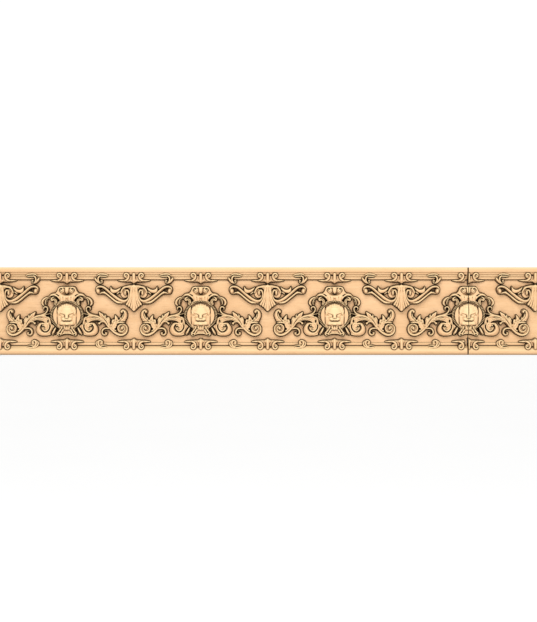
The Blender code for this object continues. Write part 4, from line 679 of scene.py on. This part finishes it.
def ease_long_arrises(relief):
    """Round the two long outer arrises over."""
    edge = np.minimum(relief.y, HEIGHT - relief.y)
    relief.z -= LONG_EASE * np.clip(1 - edge / LONG_EASE, 0, 1) ** 2


def set_in(relief):
    """Cut the foot of every wall a little deeper, as a carver's fine gouge leaves it."""
    before = relief.z.copy()
    relief.soften((0, 0), (HALF, HEIGHT), GOUGE)
    relief.z = np.maximum(before - GOUGE_SHARE * np.maximum(relief.z - before, 0), -GOUGE_DEEPEST)


def thinned(relief, facets):
    """The relief as a mesh in millimetres with about that many facets, its open sides on their planes."""
    rows, columns = relief.z.shape
    grid = bmesh.new()
    bmesh.ops.create_grid(grid, x_segments=columns - 1, y_segments=rows - 1, size=1)
    fine = bpy.data.meshes.new("half_repeat")
    grid.to_mesh(fine)
    quads = len(grid.faces)
    grid.free()
    places = np.empty((len(fine.vertices), 3), np.float32)
    fine.vertices.foreach_get("co", places.ravel())
    column = np.rint((places[:, 0] + 1) / 2 * (columns - 1)).astype(int)
    row = np.rint((places[:, 1] + 1) / 2 * (rows - 1)).astype(int)
    places[:] = np.column_stack([source[row, column] for source in (relief.x, relief.y, relief.z)])
    fine.vertices.foreach_set("co", places.ravel())
    holder = bpy.data.objects.new("half_repeat", fine)
    bpy.context.scene.collection.objects.link(holder)
    thin = holder.modifiers.new("thin", "DECIMATE")
    thin.ratio = facets / (2 * quads)
    thin.use_collapse_triangulate = True
    bpy.context.view_layer.update()
    coarse = bpy.data.meshes.new_from_object(holder.evaluated_get(bpy.context.evaluated_depsgraph_get()))
    bpy.data.objects.remove(holder)
    bpy.data.meshes.remove(fine)
    form = bmesh.new()
    form.from_mesh(coarse)
    for vertex in {vertex for edge in form.edges if edge.is_boundary for vertex in edge.verts}:
        for axis, plane in ((0, 0.0), (0, HALF), (1, 0.0), (1, HEIGHT)):
            if abs(vertex.co[axis] - plane) < NEAR_SIDE:
                vertex.co[axis] = plane
    within = [face for face in form.faces for plane in (0.0, HALF)
              if all(vertex.co.x == plane for vertex in face.verts)]
    bmesh.ops.delete(form, geom=within, context="FACES")
    form.to_mesh(coarse)
    form.free()
    return coarse


def laid(form, mesh, index):
    """Add half repeat number index, counted from the first swag, to the face of a length, in metres."""
    first = len(form.verts)
    form.from_mesh(mesh)
    form.verts.ensure_lookup_table()
    for vertex in form.verts[first:]:
        along = HALF - vertex.co.x if index % 2 == 0 else vertex.co.x
        x = FIRST_SWAG + HALF * index + along
        vertex.co = (x * MM, -(BOARD + vertex.co.z) * MM, (vertex.co.y - HEIGHT / 2) * MM)


def carved_length(name, halves):
    """One length: its half repeats laid side by side, cut square at both ends and closed to the flat back.

    Cut ends and back take the second material, the closed top and foot the first.
    """
    form = bmesh.new()
    for index, mesh in halves:
        laid(form, mesh, index)
    border = {vertex for edge in form.edges if edge.is_boundary for vertex in edge.verts}
    bmesh.ops.remove_doubles(form, verts=list(border), dist=WELD)
    for plane, normal in zip(ENDS[name], ((-1, 0, 0), (1, 0, 0))):
        bmesh.ops.bisect_plane(form, geom=form.verts[:] + form.edges[:] + form.faces[:], dist=WELD / 10,
                               plane_co=(plane * MM, 0, 0), plane_no=normal, clear_outer=True)
    carved = set(form.faces)
    border = [edge for edge in form.edges if edge.is_boundary]
    walls = bmesh.ops.extrude_edge_only(form, edges=border)["geom"]
    for vertex in walls:
        if isinstance(vertex, bmesh.types.BMVert):
            vertex.co.y = 0.0
    back = [edge for edge in form.edges if edge.is_boundary]
    bmesh.ops.holes_fill(form, edges=back)
    bmesh.ops.recalc_face_normals(form, faces=form.faces)
    for face in form.faces:
        face.smooth = face in carved
        face.material_index = int(not face.smooth and abs(face.normal.z) < 0.5)
    mesh = bpy.data.meshes.new(name + "_carving")
    form.to_mesh(mesh)
    form.free()
    return mesh


# Patterns of the two woods, in cycles a metre along the frieze, through it and up it
GRAIN_STRETCH = (5.0, 60.0, 130.0)
PORE_STRETCH = (45.0, 700.0, 900.0)
CLOUD_STRETCH = (9.0, 14.0, 14.0)
SAWN_STRETCH = (4.0, 70.0, 90.0)
SAW_STRETCH = (1500.0, 30.0, 6.0)
FINE_BUMP, SAW_BUMP = 0.00012, 0.00025

# Where each tone of the woods, painted shade and painted highlight starts and is full: by pattern, by
# openness, by slope or by height in metres
TONE_RAMP, PORE_RAMP = (0.36, 0.64), (0.42, 0.25)
RIDGE_RAMP, HOLLOW_RAMP, DEEP_RAMP, LINE_RAMP = (0.97, 0.6), (0.85, 0.25), (0.46, 0.2), (0.92, 0.4)
UPWARD_RAMP, SLOPE_RAMP, FLANK_RAMP = (0.06, 0.5), (0.99, 0.7), (0.75, 0.2)
RAISED_RAMP = (BOARD + 12.4) * MM, (BOARD + 15.6) * MM
SAWN_RAMP, SAW_RAMP, GAP_RAMP = (0.3, 0.7), (0.6, 0.8), (0.7, 0.4)
PORE_SHARE = SAW_SHARE = 0.25

# The studio, in metres; each lamp has its place, its width and its share of the key's power
FLOOR_SIZE = 30
FLOOR_TONES = (0.93, 0.93, 0.92, 1.0), (0.96, 0.96, 0.955, 1.0)
FLOOR_CLOUDS = (0.8, 0.8, 0.8)
CAMERA_SHIFT = (0.0015, 0.0004)
LAMPS = (("key", (-0.2, -1.9, 1.5), 1.6, 1.0), ("fill", (0.9, -1.6, 0.3), 1.4, 0.1))
WHITE_SEEN = 1.05


class Value:
    """A socket's output that takes part in sums: an expression on values adds its Math nodes."""

    def __init__(self, tree, socket):
        self.tree, self.socket = tree, socket

    def math(self, operation, first, second=0.0):
        node = self.tree.nodes.new("ShaderNodeMath")
        node.operation = operation
        for slot, value in zip(node.inputs, (first, second)):
            if isinstance(value, Value):
                self.tree.links.new(value.socket, slot)
            else:
                slot.default_value = value
        return Value(self.tree, node.outputs[0])

    def __add__(self, other):
        return self.math("ADD", self, other)

    def __sub__(self, other):
        return self.math("SUBTRACT", self, other)

    def __rsub__(self, other):
        return self.math("SUBTRACT", other, self)

    def __mul__(self, other):
        return self.math("MULTIPLY", self, other)

    __radd__ = __add__
    __rmul__ = __mul__

    def ramp(self, low, high):
        """From 0 at low to 1 at high, eased at both ends; low may be the larger."""
        node = self.tree.nodes.new("ShaderNodeMapRange")
        node.interpolation_type = "SMOOTHSTEP"
        self.tree.links.new(self.socket, node.inputs["Value"])
        ends = (low, high, 0.0, 1.0) if low < high else (high, low, 1.0, 0.0)
        for name, value in zip(("From Min", "From Max", "To Min", "To Max"), ends):
            node.inputs[name].default_value = value
        return Value(self.tree, node.outputs["Result"])


class Nodes:
    """A node tree, with one way to add a node of any kind."""

    def __init__(self, tree):
        self.tree = tree

    def add(self, kind, settings, values, output=0):
        """Any node: its settings are set first, then the values or links of its sockets."""
        node = self.tree.nodes.new(kind)
        for name, value in settings.items():
            setattr(node, name, value)
        for name, value in values.items():
            if isinstance(value, Value):
                self.tree.links.new(value.socket, node.inputs[name])
            else:
                node.inputs[name].default_value = value
        return Value(self.tree, node.outputs[output])


class Finish(Nodes):
    """A material and the nodes that feed its Principled shader."""

    def __init__(self, name, **constants):
        self.material = bpy.data.materials.new(name)
        self.material.use_nodes = True
        super().__init__(self.material.node_tree)
        self.shader = self.tree.nodes["Principled BSDF"]
        for socket, value in constants.items():
            self.shader.inputs[socket.replace("_", " ")].default_value = value

    def noise(self, at, stretch, detail=4.0, roughness=0.55, distortion=0.0):
        """Noise with about stretch cycles a metre along each axis."""
        spread = self.add("ShaderNodeVectorMath", {"operation": "MULTIPLY"}, {0: at, 1: stretch})
        return self.add("ShaderNodeTexNoise", {"noise_dimensions": "3D"},
                        {"Vector": spread, "Scale": 1.0, "Detail": detail, "Roughness": roughness,
                         "Distortion": distortion})

    def openness(self, reach, within=False, beyond=False):
        """1 in the open, towards 0 where walls close in within reach metres.

        Within measures how thin the wood is instead, beyond counts the other length's walls too.
        """
        return self.add("ShaderNodeAmbientOcclusion",
                        {"samples": 8, "only_local": not beyond, "inside": within},
                        {"Distance": reach}, "AO")

    def facing(self, axis):
        """How far the surface faces along an axis of the object, from -1 to 1."""
        normal = self.add("ShaderNodeTexCoord", {}, {}, "Normal")
        return self.add("ShaderNodeSeparateXYZ", {}, {"Vector": normal}, axis)

    def blend(self, share, first, second):
        return self.add("ShaderNodeMix", {"data_type": "RGBA"}, {0: share, 6: first, 7: second}, 2)

    def feed(self, socket, value):
        self.tree.links.new(value.socket, self.shader.inputs[socket])

    def bump(self, height, reach, strength=1.0):
        normal = self.add("ShaderNodeBump", {}, {"Height": height, "Distance": reach, "Strength": strength},
                          "Normal")
        self.feed("Normal", normal)


def carved_wood(name, look):
    """Pale warm wood with painted highlights on crests (not at the cut ends), high forms and upper sides, and
    painted shade on slopes and in every recess.
    """
    finish = Finish(name, Specular_IOR_Level=0.35)
    place = finish.add("ShaderNodeTexCoord", {}, {}, "Object")
    grain = finish.noise(place, GRAIN_STRETCH, 5.0, 0.6, 0.3)
    pores = finish.noise(place, PORE_STRETCH, 2.0)
    clouds = finish.noise(place, CLOUD_STRETCH, 3.0)
    line = finish.openness(look.line_reach)
    hollow = finish.openness(look.hollow_reach)
    ridge = finish.openness(look.ridge_reach, within=True)
    facing = finish.facing("Y") * -1.0
    tone = (grain * 0.5 + clouds * 0.5).ramp(*TONE_RAMP)
    wood = finish.blend(tone, (*look.deep, 1.0), (*look.pale, 1.0))
    wood = finish.blend(pores.ramp(*PORE_RAMP) * PORE_SHARE, wood, (*look.shade, 1.0))
    along = finish.add("ShaderNodeSeparateXYZ", {}, {"Vector": place}, "X")
    from_middle = along.math("ABSOLUTE", along)
    uncut = from_middle.ramp(SHORT_END * MM - look.ridge_reach / 2, SHORT_END * MM - look.ridge_reach)
    # Painted highlight on thin crests, kept off the cut ends
    crest_highlight = ridge.ramp(*RIDGE_RAMP) * uncut
    wood = finish.blend(crest_highlight * look.ridge_share, wood, (*look.ridge, 1.0))
    # Painted highlight on the highest forms and on the forms' upper sides
    depth = finish.add("ShaderNodeSeparateXYZ", {}, {"Vector": place}, "Y") * -1.0
    raised = depth.ramp(*RAISED_RAMP)
    upward = finish.facing("Z").ramp(*UPWARD_RAMP)
    highlighted = 1.0 - (1.0 - raised * look.raised_share) * (1.0 - upward * look.upward_share)
    wood = finish.blend(highlighted, wood, (*look.ridge, 1.0))
    # Painted shade: brown on slopes that turn from the front, and soft brown where walls close in around the
    # carving
    wood = finish.blend(facing.ramp(*SLOPE_RAMP) * look.slope_share, wood, (*look.shade, 1.0))
    wood = finish.blend(hollow.ramp(*HOLLOW_RAMP) * look.hollow_share, wood, (*look.shade, 1.0))
    # Painted shade, near black: lines at the foot of each wall, steep sides and deep holes
    open_share = 1.0 - line.ramp(*LINE_RAMP) * look.line_share
    open_share *= 1.0 - facing.ramp(*FLANK_RAMP) * look.flank_share
    open_share *= 1.0 - hollow.ramp(*DEEP_RAMP) * look.deep_share
    painted_shade = 1.0 - open_share
    wood = finish.blend(painted_shade, wood, (*look.recess, 1.0))
    finish.feed("Base Color", wood)
    finish.feed("Roughness", 0.5 + grain * 0.12 - line * 0.04)
    finish.bump(grain * 0.5 + pores * 0.5, FINE_BUMP)
    return finish.material


def sawn_wood(name, look):
    """The back and the cut ends: bare sawn wood with fine saw lines, and painted shade, nearly black, within
    the joint.
    """
    finish = Finish(name, Specular_IOR_Level=0.0)
    place = finish.add("ShaderNodeTexCoord", {}, {}, "Object")
    grain = finish.noise(place, SAWN_STRETCH, 5.0, 0.62, 0.6)
    saw = finish.noise(place, SAW_STRETCH, 2.0)
    wood = finish.blend(grain.ramp(*SAWN_RAMP), (*look.sawn_deep, 1.0), (*look.sawn, 1.0))
    wood = finish.blend(saw.ramp(*SAW_RAMP) * SAW_SHARE, wood, (*look.shade, 1.0))
    # Painted shade within the joint, where the other length's end closes in
    gap = finish.openness(look.hollow_reach, beyond=True)
    wood = finish.blend(gap.ramp(*GAP_RAMP), wood, (*look.recess, 1.0))
    finish.feed("Base Color", wood)
    finish.feed("Roughness", 0.72 + grain * 0.1)
    finish.bump(saw * 0.6 + grain * 0.4, SAW_BUMP)
    return finish.material


def linear(red, green, blue):
    """A colour as an eye reads it off a screen, 0 to 255, as the shader's linear values."""
    def one(value):
        value /= 255
        return value / 12.92 if value <= 0.04045 else ((value + 0.055) / 1.055) ** 2.4
    return one(red), one(green), one(blue)


def colour(label, help_text, *screen):
    return FloatVectorProperty(name=label, description=help_text, subtype="COLOR", size=3,
                               min=0.0, max=1.0, default=linear(*screen))


class FriezeCarving(bpy.types.PropertyGroup):
    step: FloatProperty(name="Carving step", description="Grid step of the carving, in millimetres",
                        default=0.4, min=0.2, max=2.0)
    facets: IntProperty(name="Facets", description="Facets kept in each half repeat",
                        default=25500, min=2000, max=27000)


class FriezeFinish(bpy.types.PropertyGroup):
    pale: colour("Pale", "Lightest wood, on open ridges", 236, 193, 146)
    deep: colour("Deep", "Warmer wood between", 228, 183, 134)
    # Shade is the brown of the pores and saw lines, and also of the painted shade on slopes and around the
    # carving
    shade: colour("Shade", "Brown that tones the hollows", 150, 98, 50)
    # Recess is painted shade: the near-black lines at the walls' feet, the steep sides, the deep holes and
    # the joint
    recess: colour("Recess", "Dark brown in the deepest lines", 44, 24, 8)
    # Ridge is a painted highlight on crests, on the highest forms and on the forms' upper sides
    ridge: colour("Ridge", "Rubbed wood on the crests of the carving", 255, 232, 178)
    sawn: colour("Sawn", "Sawn wood of the back and ends", 220, 180, 128)
    sawn_deep: colour("Sawn grain", "Darker grain of the sawn wood", 190, 146, 96)
    # The reaches and strengths below place and weigh the painted shade and the painted highlights
    line_reach: FloatProperty(name="Line reach", description="Width of the dark line at a wall's foot",
                              default=0.0021, unit="LENGTH")
    ridge_reach: FloatProperty(name="Ridge reach", description="Width of the rubbed crests",
                               default=0.0024, unit="LENGTH")
    hollow_reach: FloatProperty(name="Hollow reach", description="Width of the soft tone around the carving",
                                default=0.0075, unit="LENGTH")
    line_share: FloatProperty(name="Line strength", description="How dark the lines are", default=0.92,
                              min=0.0, max=1.0)
    hollow_share: FloatProperty(name="Hollow strength", description="How strong the soft tone is",
                                default=0.5, min=0.0, max=1.0)
    deep_share: FloatProperty(name="Deep strength", description="How dark the deep holes are",
                              default=0.75, min=0.0, max=1.0)
    ridge_share: FloatProperty(name="Ridge strength", description="How light the rubbed crests are",
                               default=0.5, min=0.0, max=1.0)
    raised_share: FloatProperty(name="Raised strength", description="How light the highest forms are",
                                default=0.5, min=0.0, max=1.0)
    upward_share: FloatProperty(name="Upward strength", description="How light the forms' upper sides are",
                                default=0.4, min=0.0, max=1.0)
    slope_share: FloatProperty(name="Slope strength", description="How brown the gentle slopes are",
                               default=0.22, min=0.0, max=1.0)
    flank_share: FloatProperty(name="Flank strength", description="How dark the steep sides are",
                               default=0.7, min=0.0, max=1.0)


class FriezeStage(bpy.types.PropertyGroup):
    focal: FloatProperty(name="Focal length", description="Of the camera, in millimetres", default=117.35)
    distance: FloatProperty(name="Distance", description="From the camera to the carved ground",
                            default=3.2, unit="LENGTH")
    floor_drop: FloatProperty(name="Floor drop", description="From the frieze's middle down to the floor",
                              default=0.75, unit="LENGTH")
    key: FloatProperty(name="Key light", description="Power of the soft light above, in watts", default=40.0)
    fill: FloatProperty(name="Surround", description="Light that the white surround gives", default=0.5)
    bounce: FloatProperty(name="Bounce", description="Share of the floor's light that reaches the frieze",
                          default=0.4)


def show(name, mesh, material, back):
    """Put a carved length in the scene in place of its plain solid."""
    mesh.materials.append(material)
    mesh.materials.append(back)
    mesh.set_sharp_from_angle(angle=SHARP)
    piece = bpy.data.objects.new(name + "_carving", mesh)
    bpy.context.scene.collection.objects.link(piece)
    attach(piece, "root")
    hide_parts(name)


class FRIEZE_OT_lengths(bpy.types.Operator):
    """Carve both lengths of the frieze and give them their wood"""
    bl_idname = "frieze.lengths"
    bl_label = "Carve the lengths"

    def execute(self, context):
        carving, look = context.scene.frieze_carving, context.scene.frieze_finish
        relief = carve(carving.step)
        set_in(relief)
        ease_long_arrises(relief)
        plain = thinned(relief, carving.facets)
        left, right = joint_half(plain, False), joint_half(plain, True)
        wood, back = carved_wood("carved_wood", look), sawn_wood("sawn_wood", look)
        long_halves = [(index, plain) for index in range(-1, 6)] + [(6, left)]
        for name, halves in (("frieze_long_length", long_halves),
                             ("frieze_short_length", [(7, right), (8, plain)])):
            slot = "carved_wood" if name == "frieze_long_length" else "carved_wood_short"
            show(name, carved_length(name, halves), wood, back)
        return {"FINISHED"}


class FRIEZE_OT_stage(bpy.types.Operator):
    """Set the floor, the lights and the camera"""
    bl_idname = "frieze.stage"
    bl_label = "Set the stage"

    def execute(self, context):
        scene, stage = context.scene, context.scene.frieze_stage
        floor_mesh = bpy.data.meshes.new("floor")
        sheet = bmesh.new()
        bmesh.ops.create_grid(sheet, x_segments=2, y_segments=2, size=FLOOR_SIZE)
        sheet.to_mesh(floor_mesh)
        sheet.free()
        paint = Finish("pale_floor", Roughness=0.85, Specular_IOR_Level=0.1, Emission_Strength=0.5)
        seen = paint.add("ShaderNodeLightPath", {}, {}, "Is Camera Ray")
        paint.feed("Emission Color", paint.blend(seen, (*[stage.bounce] * 3, 1.0), (1.0, 1.0, 1.0, 1.0)))
        spot = paint.add("ShaderNodeTexCoord", {}, {}, "Object")
        paint.feed("Base Color", paint.blend(paint.noise(spot, FLOOR_CLOUDS), *FLOOR_TONES))
        floor_mesh.materials.append(paint.material)
        floor = bpy.data.objects.new("floor", floor_mesh)
        floor.location.z = -stage.floor_drop
        scene.collection.objects.link(floor)

        world = bpy.data.worlds.new("white_surround")
        world.use_nodes = True
        sky = Nodes(world.node_tree)
        seen = sky.add("ShaderNodeLightPath", {}, {}, "Is Camera Ray")
        white = world.node_tree.nodes["Background"]
        white.inputs["Color"].default_value = (1.0, 1.0, 1.0, 1.0)
        strength = seen * (WHITE_SEEN - stage.fill) + stage.fill
        world.node_tree.links.new(strength.socket, white.inputs["Strength"])
        scene.world = world

        for name, spot, size, share in LAMPS:
            light = bpy.data.lights.new(name, "AREA")
            light.shape = "DISK"
            light.size = size
            light.energy = stage.key * share
            lamp = bpy.data.objects.new(name, light)
            lamp.location = spot
            lamp.rotation_euler = (Vector((0, 0, 0)) - lamp.location).to_track_quat("-Z", "Y").to_euler()
            scene.collection.objects.link(lamp)

        lens = bpy.data.cameras.new("camera")
        lens.sensor_fit = "HORIZONTAL"
        lens.sensor_width = 36.0
        lens.lens = stage.focal
        camera = bpy.data.objects.new("camera", lens)
        camera.location = (CAMERA_SHIFT[0], -(BOARD * MM + stage.distance), CAMERA_SHIFT[1])
        camera.rotation_euler = (math.pi / 2, 0, 0)
        scene.collection.objects.link(camera)
        scene.camera = camera
        scene.view_settings.view_transform = "Standard"
        return {"FINISHED"}


class FRIEZE_PT_panel(bpy.types.Panel):
    bl_idname = "FRIEZE_PT_panel"
    bl_label = "Carved frieze"
    bl_space_type = "VIEW_3D"
    bl_region_type = "UI"
    bl_category = "Frieze"

    def draw(self, context):
        for group in (context.scene.frieze_carving, context.scene.frieze_finish, context.scene.frieze_stage):
            box = self.layout.box()
            for name in group.__annotations__:
                box.prop(group, name)
        for operator in OPERATORS:
            self.layout.operator(operator.bl_idname)


GROUPS = {"frieze_carving": FriezeCarving, "frieze_finish": FriezeFinish, "frieze_stage": FriezeStage}
OPERATORS = (FRIEZE_OT_lengths, FRIEZE_OT_stage)
CLASSES = (*GROUPS.values(), *OPERATORS, FRIEZE_PT_panel)


def register():
    for item in CLASSES:
        bpy.utils.register_class(item)
    for name, group in GROUPS.items():
        setattr(bpy.types.Scene, name, PointerProperty(type=group))


def unregister():
    for name in GROUPS:
        delattr(bpy.types.Scene, name)
    for item in reversed(CLASSES):
        bpy.utils.unregister_class(item)


def main():
    register()
    bpy.ops.frieze.lengths()
    bpy.ops.frieze.stage()


if __name__ == "__main__":
    main()
